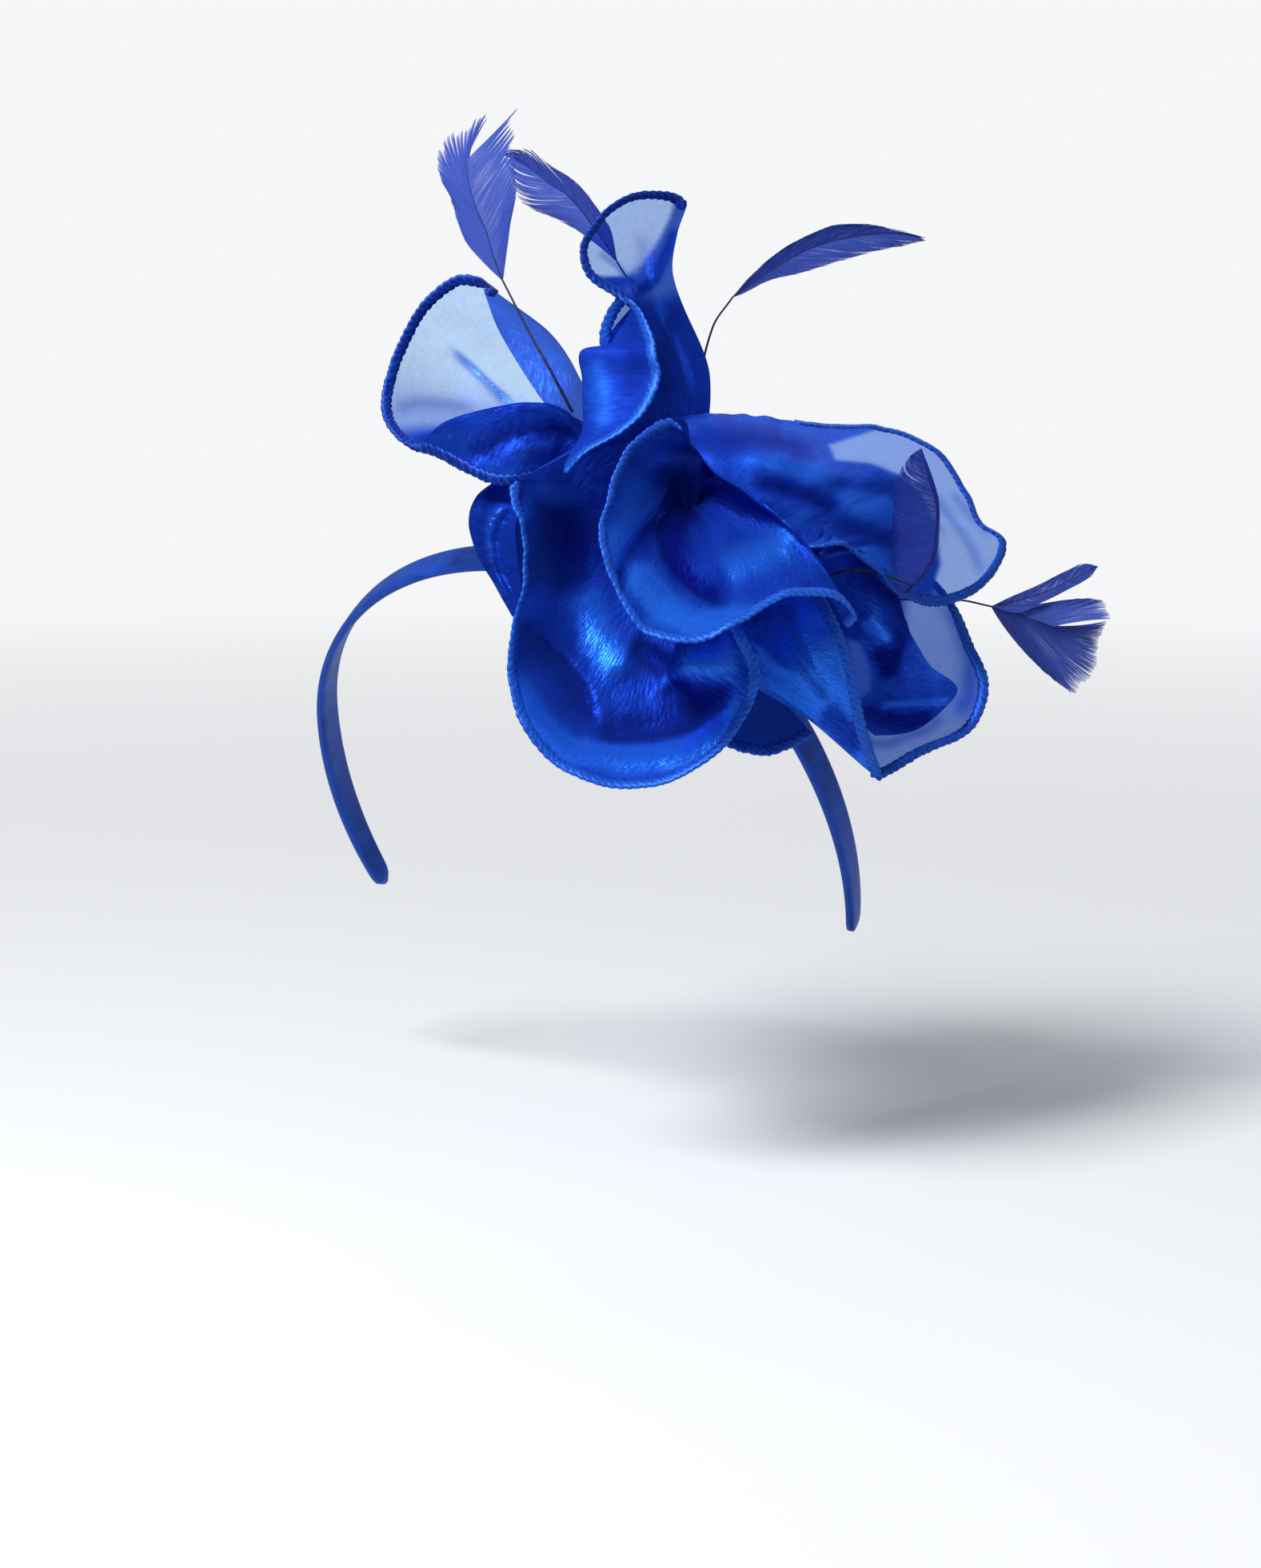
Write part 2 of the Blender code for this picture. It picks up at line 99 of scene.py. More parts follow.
def curveThrough(places, steps, knots=None):
    knots = knots or chordKnots(places)
    last = len(places) - 1
    slopes = []
    for i in range(last + 1):
        before = max(i - 1, 0)
        after = min(i + 1, last)
        slopes.append((places[after] - places[before]) / (knots[after] - knots[before]))
    points = []
    piece = 0
    for step in range(steps + 1):
        at = knots[-1] * step / steps
        while piece < last - 1 and at > knots[piece + 1]:
            piece += 1
        span = knots[piece + 1] - knots[piece]
        t = (at - knots[piece]) / span
        start = 2 * t**3 - 3 * t**2 + 1
        leave = (t**3 - 2 * t**2 + t) * span
        arrive = (t**3 - t**2) * span
        points.append(start * places[piece] + leave * slopes[piece]
                      + (1 - start) * places[piece + 1] + arrive * slopes[piece + 1])
    return points


def lengthOf(points):
    return sum((b - a).length for a, b in zip(points, points[1:]))


def smooth(low, high, value):
    t = min(1.0, max(0.0, (value - low) / (high - low)))
    return t * t * (3 - 2 * t)


def wander(x, y, z):  # a number that drifts smoothly between -1 and 1
    return noise.noise(Vector((x, y, z)))


# meshes

def addPiece(name, verts, faces, finish, place=rosette, thread=None, cover=None, shade=None):
    mesh = bpy.data.meshes.new(name)
    matrix = Matrix.Scale(mm, 4) @ place
    mesh.from_pydata([matrix @ v for v in verts], [], faces)
    if thread:
        layer = mesh.attributes.new("thread", "FLOAT_VECTOR", "POINT")
        layer.data.foreach_set("vector", [x for t in thread for x in t])
    for label, values in (("cover", cover), ("shade", shade)):
        if values:
            layer = mesh.attributes.new(label, "FLOAT", "POINT")
            layer.data.foreach_set("value", values)
    mesh.shade_smooth()
    mesh.materials.append(finish)
    piece = bpy.data.objects.new(name, mesh)
    bpy.context.scene.collection.objects.link(piece)
    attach(piece, "root")
    return piece


def joinRings(rings, faces, closed=True):  # rings are lists of vertex numbers
    count = len(rings[0])
    for a, b in zip(rings, rings[1:]):
        for k in range(count if closed else count - 1):
            n = (k + 1) % count
            faces.append((a[k], a[n], b[n], b[k]))
    if closed:
        faces.append(tuple(rings[0][::-1]))
        faces.append(tuple(rings[-1]))


# materials

def newFinish(name):
    finish = bpy.data.materials.new(name)
    finish.use_nodes = True
    tree = finish.node_tree
    return finish, tree, tree.nodes["Principled BSDF"]


def plug(tree, node, inputs):  # another node's socket is linked, and a plain value is set
    for key, value in inputs.items():
        if isinstance(value, bpy.types.NodeSocket):
            tree.links.new(value, node.inputs[key])
        else:
            node.inputs[key].default_value = value


def addNode(tree, kind, settings=None, inputs=None):
    node = tree.nodes.new(kind)
    for key, value in (settings or {}).items():
        setattr(node, key, value)
    plug(tree, node, inputs or {})
    return node


def painted(tree, label, output="Fac"):  # what addPiece wrote on the points
    return addNode(tree, "ShaderNodeAttribute", {"attribute_name": label}).outputs[output]


def grain(tree, thread, often, detail=2.0, roughness=0.5):  # often is across, along and over, per mm
    vector = addNode(tree, "ShaderNodeVectorMath", {"operation": "MULTIPLY"}, {0: thread, 1: often})
    return addNode(tree, "ShaderNodeTexNoise", None,
                   {"Vector": vector.outputs[0], "Scale": 1.0, "Detail": detail,
                    "Roughness": roughness}).outputs[0]


def remap(tree, value, low, high, toLow, toHigh):
    return addNode(tree, "ShaderNodeMapRange", None,
                   {0: value, 1: low, 2: high, 3: toLow, 4: toHigh}).outputs[0]


def calc(tree, operation, a, b, clamp=False):
    settings = {"operation": operation, "use_clamp": clamp}
    return addNode(tree, "ShaderNodeMath", settings, {0: a, 1: b}).outputs[0]


def weighted(tree, first, share, second, otherShare, clamp=False):
    return calc(tree, "ADD", calc(tree, "MULTIPLY", first, share),
                calc(tree, "MULTIPLY", second, otherShare), clamp)


def blended(tree, factor, first, second):
    node = addNode(tree, "ShaderNodeMix", {"data_type": "RGBA"}, {0: factor, 6: first, 7: second})
    return node.outputs[2]


def bumped(tree, height, strength, distance):
    return addNode(tree, "ShaderNodeBump", None,
                   {"Strength": strength, "Distance": distance, "Height": height}).outputs[0]


organzaLook = {
    "deep": (0.002, 0.003, 0.12, 1),
    "middle": (0.007, 0.038, 0.38, 1),
    "bright": (0.022, 0.165, 0.84, 1),
    "rough": (0.22, 0.60),
    "roughInShade": 0.35,                    # how much rougher the cloth is made where its painted shade is darker
    "backlit": (0.02, 0.10, 0.82, 1),
    "backlitShare": 0.2,
    "seenThin": (0.54, 0.74, 1.0, 1),   # the tint of what is seen through one sheer layer
    "seenDense": (0.06, 0.22, 1.0, 1),  # and of what is seen through dense cloth
    "mottle": 0.9,
    "relief": 0.45,
    "streak": (0.85, 0.30, 1.0),        # how often the threads change
    "weft": (0.12, 1.1, 1.0),
    "cloud": (0.05, 0.05, 1.0),
    "metallic": 0.62,
    "shine": {"IOR": 1.28, "Specular IOR Level": 0.2, "Specular Tint": (0.12, 0.38, 1.0, 1),
              "Sheen Weight": 0.02, "Sheen Roughness": 0.4, "Sheen Tint": (0.1, 0.4, 1.0, 1)},
}
smoothLook = {"rough": (0.52, 0.60), "mottle": 0.4, "metallic": 0.35, "relief": 0.08}


def organzaFinish(name, look):
    finish, tree, shader = newFinish(name)
    thread = painted(tree, "thread", "Vector")
    cover = painted(tree, "cover")
    shade = painted(tree, "shade")
    streak = grain(tree, thread, look["streak"], 3.0, 0.65)
    weft = grain(tree, thread, look["weft"])
    cloud = grain(tree, thread, look["cloud"], 3.0)
    mottle = weighted(tree, streak, look["mottle"], cloud, 0.5)
    level = look["mottle"] * 0.5 + 0.25  # the middle of the mottle, which leaves the tone as it is
    # tone picks the colour from deep through middle to bright: the painted shade and painted highlights
    # that the shade attribute carries, with random mottle from the threads
    tone = calc(tree, "ADD", shade, calc(tree, "SUBTRACT", mottle, level), clamp=True)
    lower = blended(tree, remap(tree, tone, 0.0, 0.5, 0, 1), look["deep"], look["middle"])
    colour = blended(tree, remap(tree, tone, 0.5, 1.0, 0, 1), lower, look["bright"])
    shiny, dull = look["rough"]
    # rougher where the shade attribute paints the cloth darker
    roughInShade = calc(tree, "MULTIPLY", calc(tree, "SUBTRACT", 0.6, shade), look["roughInShade"])
    rough = calc(tree, "ADD", remap(tree, streak, 0.35, 0.65, dull, shiny), roughInShade, clamp=True)
    weave = weighted(tree, streak, 0.35, weft, 0.25)
    thin = calc(tree, "SUBTRACT", 1.0, cover)
    hole = calc(tree, "MULTIPLY", thin, calc(tree, "SUBTRACT", 1.3, weave))
    alpha = calc(tree, "SUBTRACT", 1.0, hole, clamp=True)
    normal = bumped(tree, weighted(tree, streak, 1.0, weft, 0.15), look["relief"], 0.0009)
    plug(tree, shader, {"Base Color": colour, "Roughness": rough, "Normal": normal,
                        "Metallic": look["metallic"], **look["shine"]})
    backlit = addNode(tree, "ShaderNodeBsdfTranslucent", None,
                      {"Color": look["backlit"], "Normal": normal})
    cloth = addNode(tree, "ShaderNodeMixShader", None,
                    {0: look["backlitShare"], 1: shader.outputs[0], 2: backlit.outputs[0]})
    tint = blended(tree, remap(tree, cover, 0.25, 0.95, 0, 1), look["seenThin"], look["seenDense"])
    gaps = addNode(tree, "ShaderNodeBsdfTransparent", None, {"Color": tint})
    sheer = addNode(tree, "ShaderNodeMixShader", None,
                    {0: alpha, 1: gaps.outputs[0], 2: cloth.outputs[0]})
    tree.links.new(sheer.outputs[0], tree.nodes["Material Output"].inputs["Surface"])
    return finish


stitchLook = {
    "dark": (0.003, 0.012, 0.19, 1),
    "light": (0.020, 0.13, 0.72, 1),
    "rough": 0.42,
    "relief": 0.4,
    "fibre": (2.5, 1.2, 1.0),
    "shine": {"Metallic": 0.35, "Specular Tint": (0.2, 0.5, 1.0, 1),
              "Sheen Weight": 0.08, "Sheen Roughness": 0.35, "Sheen Tint": (0.1, 0.4, 1.0, 1)},
}


def stitchFinish(name, look):  # the silky thread of the overlocked hems
    finish, tree, shader = newFinish(name)
    fibre = grain(tree, painted(tree, "thread", "Vector"), look["fibre"])
    # the shade attribute brings the hems' painted light and shade onto the thread
    tone = calc(tree, "ADD", painted(tree, "shade"), calc(tree, "SUBTRACT", fibre, 0.5), clamp=True)
    plug(tree, shader, {
        "Base Color": blended(tree, tone, look["dark"], look["light"]),
        "Roughness": remap(tree, fibre, 0.3, 0.7, look["rough"] - 0.08, look["rough"] + 0.1),
        "Normal": bumped(tree, fibre, look["relief"], 0.0003),
        **look["shine"],
    })
    return finish


satinLook = {
    "deep": (0.003, 0.022, 0.20, 1),
    "bright": (0.010, 0.075, 0.50, 1),
    "rough": (0.30, 0.44),
    "relief": 0.3,
    "weft": (0.15, 5.0, 1.0),
    "pucker": (0.12, 0.12, 1.0),
    "shine": {"Metallic": 0.3, "Specular Tint": (0.3, 0.55, 1.0, 1),
              "Sheen Weight": 0.05, "Sheen Tint": (0.2, 0.5, 1.0, 1)},
}


def satinFinish(name, look):
    finish, tree, shader = newFinish(name)
    thread = painted(tree, "thread", "Vector")
    weft = grain(tree, thread, look["weft"])
    pucker = grain(tree, thread, look["pucker"], 3.0)
    tone = remap(tree, weighted(tree, weft, 0.5, pucker, 0.5), 0.35, 0.65, 0, 1)
    shiny, dull = look["rough"]
    plug(tree, shader, {
        "Base Color": blended(tree, tone, look["deep"], look["bright"]),
        "Roughness": remap(tree, weft, 0.3, 0.7, shiny, dull),
        "Normal": bumped(tree, weighted(tree, weft, 0.3, pucker, 1.0), look["relief"], 0.0006),
        **look["shine"],
    })
    return finish


plumeLook = {
    "dark": (0.007, 0.017, 0.19, 1),
    "light": (0.065, 0.115, 0.52, 1),
    "rough": 0.6,
    "cover": 0.92,  # a little light comes through the vane, and more between its barbs
    "parting": 0.45,
    "barbs": (1.0, 0.10, 1.0),
    "shine": {"Specular IOR Level": 0.25, "Specular Tint": (0.4, 0.55, 1.0, 1),
              "Sheen Weight": 0.04, "Sheen Roughness": 0.4, "Sheen Tint": (0.35, 0.5, 1.0, 1)},
}
quillLook = {"dark": (0.004, 0.005, 0.025, 1), "light": (0.018, 0.022, 0.07, 1), "rough": 0.4,
             "cover": 1.0, "parting": 0.0}


def plumeFinish(name, look):
    finish, tree, shader = newFinish(name)
    barbs = grain(tree, painted(tree, "thread", "Vector"), look["barbs"])
    stripes = remap(tree, barbs, 0.3, 0.7, 0, 1)
    # each vane side's shade, partly painted light, is laid over the barb stripes
    tone = weighted(tree, stripes, 0.6, painted(tree, "shade"), 0.5, clamp=True)
    plug(tree, shader, {
        "Base Color": blended(tree, tone, look["dark"], look["light"]),
        "Roughness": remap(tree, barbs, 0.3, 0.7, look["rough"] + 0.12, look["rough"] - 0.08),
        **look["shine"],
    })
    if look["parting"]:
        parted = remap(tree, barbs, 0.44, 0.62, look["cover"], look["cover"] - look["parting"])
        plug(tree, shader, {"Alpha": parted})
    return finish


organza = organzaFinish("crystalOrganza", organzaLook)
smoothOrganza = organzaFinish("smoothOrganza", {**organzaLook, **smoothLook})
overlock = stitchFinish("overlockThread", stitchLook)
satin = satinFinish("bandSatin", satinLook)
vane = plumeFinish("featherVane", plumeLook)
quillFinish = plumeFinish("featherQuill", {**plumeLook, **quillLook})
print("finishes ready")


# organza loops

ruffle = {
    "fineness": 7,                   # points for each step of the solids' own grid
    "gathers": 5.0,                  # mm between the little gathers at the neck
    "gatherDepth": 0.6,
    "crumple": 0.7,                  # broad soft dents, so many of them to a mm along and across
    "crumpleWaves": (0.055, 0.022),
    "crinkle": 0.15,
    "crinkleWaves": (0.2, 0.07),
    "flutter": 0.8,                  # of the hem
    "flutterLength": 9.0,
    "neckWidth": 0.45,               # of the hem's length, for the threads that crowd into the neck
}

hemLook = {"wide": 1.8, "thick": 0.72, "inset": 0.85, "stitch": 2.4, "groove": 0.26, "sides": 12,
           "step": 0.4, "uneven": 0.12, "slant": 0.7, "loose": 0.5, "taper": 3}


def rootOnCore(neck, middle, spread):
    way = middle.lerp(neck, spread) - core["centre"]
    return core["centre"] + way.normalized() * (core["radius"] + core["clearance"])


def clothGrid(rows, along, across, spread):
    sections = [[Vector(place) for place in row] for row in rows]
    middle = sum((section[0] for section in sections), Vector()) / len(sections)
    sections = [[rootOnCore(section[0], middle, spread)] + section for section in sections]
    ribKnots = meanKnots(sections)
    lineKnots = meanKnots(list(zip(*sections)))
    ribs = [curveThrough(section, across, ribKnots) for section in sections]
    lines = [curveThrough([rib[j] for rib in ribs], along, lineKnots) for j in range(across + 1)]
    return [[line[i] for line in lines] for i in range(along + 1)]


def gridNormals(grid):
    along = len(grid) - 1
    across = len(grid[0]) - 1
    normals = []
    for i in range(along + 1):
        line = []
        for j in range(across + 1):
            run = grid[min(i + 1, along)][j] - grid[max(i - 1, 0)][j]
            rise = grid[i][min(j + 1, across)] - grid[i][max(j - 1, 0)]
            line.append(run.cross(rise).normalized())
        normals.append(line)
    return normals


def foldAt(point, s, folds):  # a fold is a ridge or a dip along a line drawn on the rosette's face
    lift = 0.0
    tone = 0.0
    dense = 0.0
    for fold in folds:
        if not fold.get("from", 0) <= s <= fold.get("to", 1):
            continue
        line = fold["line"]
        nearest = 1e9
        for n in range(len(line) - 1):
            ax, ay = line[n]
            bx, by = line[n + 1]
            ex, ey = bx - ax, by - ay
            t = ((point.x - ax) * ex + (point.y - ay) * ey) / (ex * ex + ey * ey)
            t = min(1.0, max(0.0, t))
            dx, dy = point.x - ax - ex * t, point.y - ay - ey * t
            far = dx * dx + dy * dy
            if far < nearest:
                nearest = far
                leftward = ex * dy - ey * dx
                share = (n + t) / (len(line) - 1)
        wide = fold["wide"] if leftward > 0 else fold["wide"] * fold.get("steep", 1)
        if nearest < 9 * wide * wide:
            ends = smooth(0, 0.2, share) * smooth(0, 0.2, 1 - share)
            here = ends * exp(-nearest / (wide * wide))
            lift += fold.get("lift", 0) * here
            # a fold's tone is painted light: below 0 it paints shade into a dip or crease, above 0 a
            # highlight or sheen along a ridge
            tone += fold.get("tone", 0) * here
            dense += fold.get("dense", 0) * here
    return lift, tone, dense


def crease(grid, loop, seed):  # pleats, gathers, folds, crumple, and the flutter of the hem
    normals = gridNormals(grid)
    along = len(grid) - 1
    across = len(grid[0]) - 1
    hem = lengthOf([line[-1] for line in grid])
    rib = lengthOf(grid[along // 2])
    gathers = max(3, round(hem / ruffle["gathers"]))
    gatherDepth = loop.get("gatherDepth", ruffle["gatherDepth"])
    crumpleAlong, crumpleAcross = ruffle["crumpleWaves"]
    crinkleAlong, crinkleAcross = ruffle["crinkleWaves"]
    folds = loop.get("folds", ())
    marks = {}
    for i in range(along + 1):
        u = i / along
        wave = sin(2 * pi * loop.get("pleats", 0) * u)
        for j in range(across + 1):
            s = j / across
            lift = loop.get("depth", 0) * wave * (sin(pi * min(1.0, s * 1.15)) * (1.0 - 0.6 * s))
            tuck = wander(u * gathers * 1.4, s * 1.5, seed)
            lift += gatherDepth * tuck * smooth(0, 0.12, s) * (1 - smooth(0.15, 0.6, s))
            broad = wander(u * hem * crumpleAlong, s * rib * crumpleAcross, seed)
            lift += ruffle["crumple"] * broad * smooth(0.05, 0.5, s)
            fine = wander(u * hem * crinkleAlong, s * rib * crinkleAcross, seed + 5)
            lift += ruffle["crinkle"] * fine * smooth(0.1, 0.4, s)
            ripple = wander(u * hem / ruffle["flutterLength"], seed, 3)
            lift += ruffle["flutter"] * ripple * smooth(0.7, 1, s)
            move = normals[i][j] * lift
            if folds:  # folds lift towards the eye
                rise, tone, dense = foldAt(grid[i][j], s, folds)
                move.z += rise
                marks[i, j] = (tone, dense)
            grid[i][j] = grid[i][j] + move
    return hem, rib, marks


def insideBy(point, outline):  # how far a place is inside an outline, in mm, and less than 0 outside it
    inside = False
    nearest = 1e9
    for (ax, ay), (bx, by) in zip(outline, outline[1:] + outline[:1]):
        if (ay > point.y) != (by > point.y) and point.x < ax + (bx - ax) * (point.y - ay) / (by - ay):
            inside = not inside
        edge = Vector((bx - ax, by - ay))
        t = min(1, max(0, (Vector((point.x - ax, point.y - ay)) @ edge) / edge.length_squared))
        nearest = min(nearest, Vector((point.x - ax - edge.x * t, point.y - ay - edge.y * t)).length)
    return nearest if inside else -nearest


def coverAt(point, u, loop):  # sheer gives the cover along the strip, and a window its own
    cover = 1.0
    sheer = loop.get("sheer", ())
    for (ua, ca), (ub, cb) in zip(sheer, sheer[1:]):
        if ua <= u <= ub:
            cover = ca + (cb - ca) * smooth(ua, ub, u)
    for window in loop.get("windows", ()):
        soft = window.get("soft", 1.5)
        share = smooth(-soft, soft, insideBy(point, window["outline"]))
        cover += (window["cover"] - cover) * share
    return cover


def hemRope(name, grid, seed, loop):  # silky thread laid over the hem in slanting overlock stitches
    look = hemLook
    start, end = (round(share * (len(grid) - 1)) for share in loop.get("hemSpan", (0, 1)))
    part = grid[start:end + 1]
    line = [section[-1] for section in part]
    steps = max(12, round(lengthOf(line) / look["step"]))
    knots = chordKnots(line)
    centres = curveThrough(line, steps, knots)
    inward = curveThrough([section[-2] - section[-1] for section in part], steps, knots)
    verts, faces, thread, shade, rings = [], [], [], [], []
    travelled = 0.0
    for i, centre in enumerate(centres):
        way = (centres[min(i + 1, steps)] - centres[max(i - 1, 0)]).normalized()
        travelled += (centre - centres[max(i - 1, 0)]).length
        inside = (inward[i] - way * inward[i].dot(way)).normalized()
        face = way.cross(inside)
        wide = look["wide"] * (1 + look["uneven"] * wander(travelled * 0.5, seed, 0))
        slip = look["loose"] * wander(travelled * 0.35, seed, 9)
        ends = smooth(0, look["taper"], i + 1) * smooth(0, look["taper"], steps + 1 - i)
        ring = []
        for k in range(look["sides"]):
            angle = 2 * pi * k / look["sides"]
            turn = travelled / look["stitch"] + look["slant"] * cos(angle) + slip
            bead = abs(sin(pi * turn)) ** 0.6
            size = (1 - look["groove"] + look["groove"] * bead) * max(ends, 0.2)
            aside = inside * (cos(angle) * wide * size + look["inset"])
            ring.append(len(verts))
            verts.append(centre + aside + face * (sin(angle) * look["thick"] * size))
            thread.append((travelled, angle * 0.7, seed))
            # painted light on the thread: lighter on the beads and painted shade in the grooves between
            # stitches, plus each hem's tone, painted darker where the hem is backlit and lighter where it
            # is lit
            shade.append(0.55 * bead + loop.get("hemTone", 0.2))
        rings.append(ring)
    joinRings(rings, faces)
    return addPiece(name, verts, faces, overlock, thread=thread, shade=shade)


def makeLoop(name, loop, seed):
    along = loop["along"] * ruffle["fineness"]
    across = loop["across"] * ruffle["fineness"]
    grid = clothGrid(loop["sections"], along, across, loop.get("spread", 0.5))
    hem, rib, marks = crease(grid, loop, seed)
    neck = ruffle["neckWidth"]
    verts, faces, thread, cover, shade = [], [], [], [], []
    for i in range(along + 1):
        u = i / along
        for j in range(across + 1):
            s = j / across
            tone, dense = marks.get((i, j), (0, 0))
            deep = 0.25 * (1 - smooth(0.1, 0.75, s))  # darker towards the root: painted shade of the rosette's deep middle, and partly the gathered layers stacked there
            verts.append(grid[i][j])
            thread.append((hem * (u - 0.5) * (neck + (1 - neck) * s), rib * s, seed * 17.0))
            cover.append(min(1, coverAt(grid[i][j], u, loop) + dense))
            # the shade attribute carries painted light: the loop's tone, its folds' painted shade and
            # highlights, and the painted shade near the root
            shade.append(min(1, max(0, loop.get("tone", 0.5) + tone - deep)))
    for i in range(along):
        for j in range(across):
            a = i * (across + 1) + j
            faces.append((a, a + across + 1, a + across + 2, a + 1))
    finish = smoothOrganza if loop.get("smooth") else organza
    cloth = addPiece(name + "_cloth", verts, faces, finish,
                     thread=thread, cover=cover, shade=shade)
    hemmed = [hemRope(name + "_hem", grid, seed, loop)] if loop.get("hemmed", True) else []
    if loop.get("inCad", True):
        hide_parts(name)
    print(name, "hem", round(hem), "mm, neck to hem", round(rib), "mm")


# Sections of each loop, one in a row, from the neck to the hem. Each place is across, up and out.
# A window is where the cloth lies single and the light comes through: its outline is across and up.
# cut is the flat cloth before it is gathered: wide and long in mm, and its own area in cm2.
# hemSpan is the part of the hem that shows its stitches, from one share of its length to another.

# A loop's tone is painted light, lighter or darker as the loop lies lit or in shade, and a fold's tone
# paints shade along a dip or a highlight along a ridge.
loops = {}

loops["centre_rose"] = {
    "cut": (70, 180, 62),
    "along": 28, "across": 9, "pleats": 5, "depth": 0.8, "hemSpan": (0.10, 1),
    "sections": (
        ((13, 37, 33), (14, 37, 38), (14, 36, 43)),
        ((9, 38, 31), (9, 41, 38), (7, 42, 43)),
        ((5, 37, 31), (3, 44, 40), (-1, 51, 45)),
        ((2, 35, 29), (-6, 40, 43), (-13, 41, 54)),
        ((1, 32, 29), (-10, 30, 47), (-19, 24, 64)),
        ((1, 30, 30), (-10, 20, 52), (-20, 13, 70)),
        ((2, 28, 30), (-6, 11, 55), (-15, 0, 75)),
        ((3, 27, 30), (0, 5, 57), (-9, -10, 78)),
        ((5, 26, 30), (8, 4, 57), (4, -14, 80)),
        ((7, 27, 31), (17, 9, 55), (19, -8, 78)),
        ((9, 28, 32), (26, 13, 54), (31, -1, 72)),
        ((10, 30, 34), (33, 15, 54), (39, 0, 68)),
        ((11, 32, 37), (35, 18, 54), (47, -1, 64)),
        ((11, 34, 40), (34, 20, 57), (52, -6, 60)),
        ((12, 35, 40), (33, 20, 55), (50, -9, 55)),
    ),
    # the folds' tones paint shade along the step, the crescent and the deep centre, and paint light on the
    # rim panel, a highlight on the floor's bulge and a sheen along the bottom
    "folds": (
        {"line": ((2, 42), (-1, 34), (-4, 25), (-8, 20), (-11, 16), (-14, 10), (-15, 4), (-14, -2)),
         "lift": -3.2, "wide": 5.0, "steep": 0.14, "tone": -0.4},
        {"line": ((-4, 36), (-10, 26), (-15, 16), (-18, 6)), "lift": 0.6, "wide": 5.0, "tone": 0.9},
        {"line": ((3, 32), (1, 27), (-3, 23), (-3, 18), (-2, 11), (1, 6), (6, 2), (12, -2),
                  (18, -3)),
         "lift": -3.6, "wide": 5.0, "steep": 0.2, "tone": -0.75},
        {"line": ((2, 44), (6, 36), (9, 28)), "lift": -2.5, "wide": 5.0, "tone": -1.2},
        {"line": ((12, 6), (20, 10), (28, 14), (37, 17)), "lift": 2.6, "wide": 5.0, "tone": 0.45},
        {"line": ((-12, 12), (-9, 4), (-3, -3), (5, -8), (14, -9), (26, -4)),
         "lift": 1.4, "wide": 4.0, "tone": 1.0},
    ),
}

loops["front_petal"] = {
    "cut": (65, 210, 85),
    "along": 30, "across": 9, "pleats": 5, "depth": 0.6, "gatherDepth": 0.2, "spread": 0.35,
    "hemSpan": (0.085, 1),
    "sections": (
        ((-9, 42, 28), (-14, 48, 30), (-28, 45, 32)),
        ((-14, 38, 28), (-28, 42, 30), (-45, 34, 36)),
        ((-15, 29, 20), (-32, 31, 24), (-46, 28, 38)),
        ((-16, 22, 15), (-30, 22, 21), (-43, 19, 41)),
        ((-17, 12, 15), (-30, 10, 22), (-43, 5, 44)),
        ((-17, 3, 17), (-31, -4, 25), (-46, -10, 44)),
        ((-16, -4, 20), (-30, -18, 29), (-47, -24, 45)),
        ((-14, -9, 21), (-25, -28, 31), (-41, -40, 48)),
        ((-10, -12, 22), (-15, -35, 32), (-24, -53, 50)),
        ((-5, -13, 22), (-4, -36, 32), (-5, -54, 51)),
        ((0, -12, 23), (3, -33, 33), (10, -47, 52)),
        ((4, -10, 24), (5, -29, 38), (19, -37, 54)),
        ((7, -7, 25), (-1, -24, 48), (24, -27, 56)),
        ((8, -5, 26), (0, -19, 52), (24, -20, 57)),
        ((8, -4, 26), (2, -14, 50), (20, -11, 57)),
        ((9, 0, 28), (6, -5, 44), (16, -1, 52)),
    ),
    # the folds' tones paint shade in the valleys, the upper left and the pocket by the curl, and paint
    # light on the rim, the curl's panel, a sheen ridge and a bright band inside the hem
    "folds": (
        {"line": ((-46, -2), (-42, -8), (-32, -18), (-26, -26), (-20, -42)),
         "lift": -2.2, "wide": 1.6, "steep": 4, "tone": -0.6, "to": 0.96},
        {"line": ((-24, -40), (-16, -41), (-5, -40), (6, -37), (14, -31), (18, -24)),
         "lift": -2.6, "wide": 7.0, "steep": 0.2, "tone": -0.8, "from": 0.35, "to": 0.97},
        {"line": ((-46, -18), (-40, -35), (-29, -44), (-13, -47), (3, -45), (15, -38), (21, -27)),
         "lift": 1.6, "wide": 3.4, "tone": 1.0, "from": 0.6},
        {"line": ((-27, 6), (-23, -4), (-18, -14), (-12, -24)),
         "lift": 2.0, "wide": 6.0, "tone": 0.6, "to": 0.95},
        {"line": ((-1, -24), (4, -31), (10, -36)),
         "lift": -1.5, "wide": 3.5, "tone": -1.0, "from": 0.3, "to": 0.95},
        {"line": ((-32, 34), (-32, 22), (-32, 12), (-36, 0)),
         "lift": -3.0, "wide": 8.0, "tone": -0.8},
        {"line": ((-46, 30), (-44, 22), (-40, 30), (-34, 38)),
         "lift": 0.8, "wide": 2.6, "tone": 0.4, "from": 0.4},
        {"line": ((-12, -13), (-5, -17), (0, -21)), "lift": -2.0, "wide": 3.0, "tone": -0.8},
        {"line": ((2, -18), (10, -20), (20, -18)),
         "lift": 0.6, "wide": 5.0, "tone": 0.55, "from": 0.45},
    ),
}

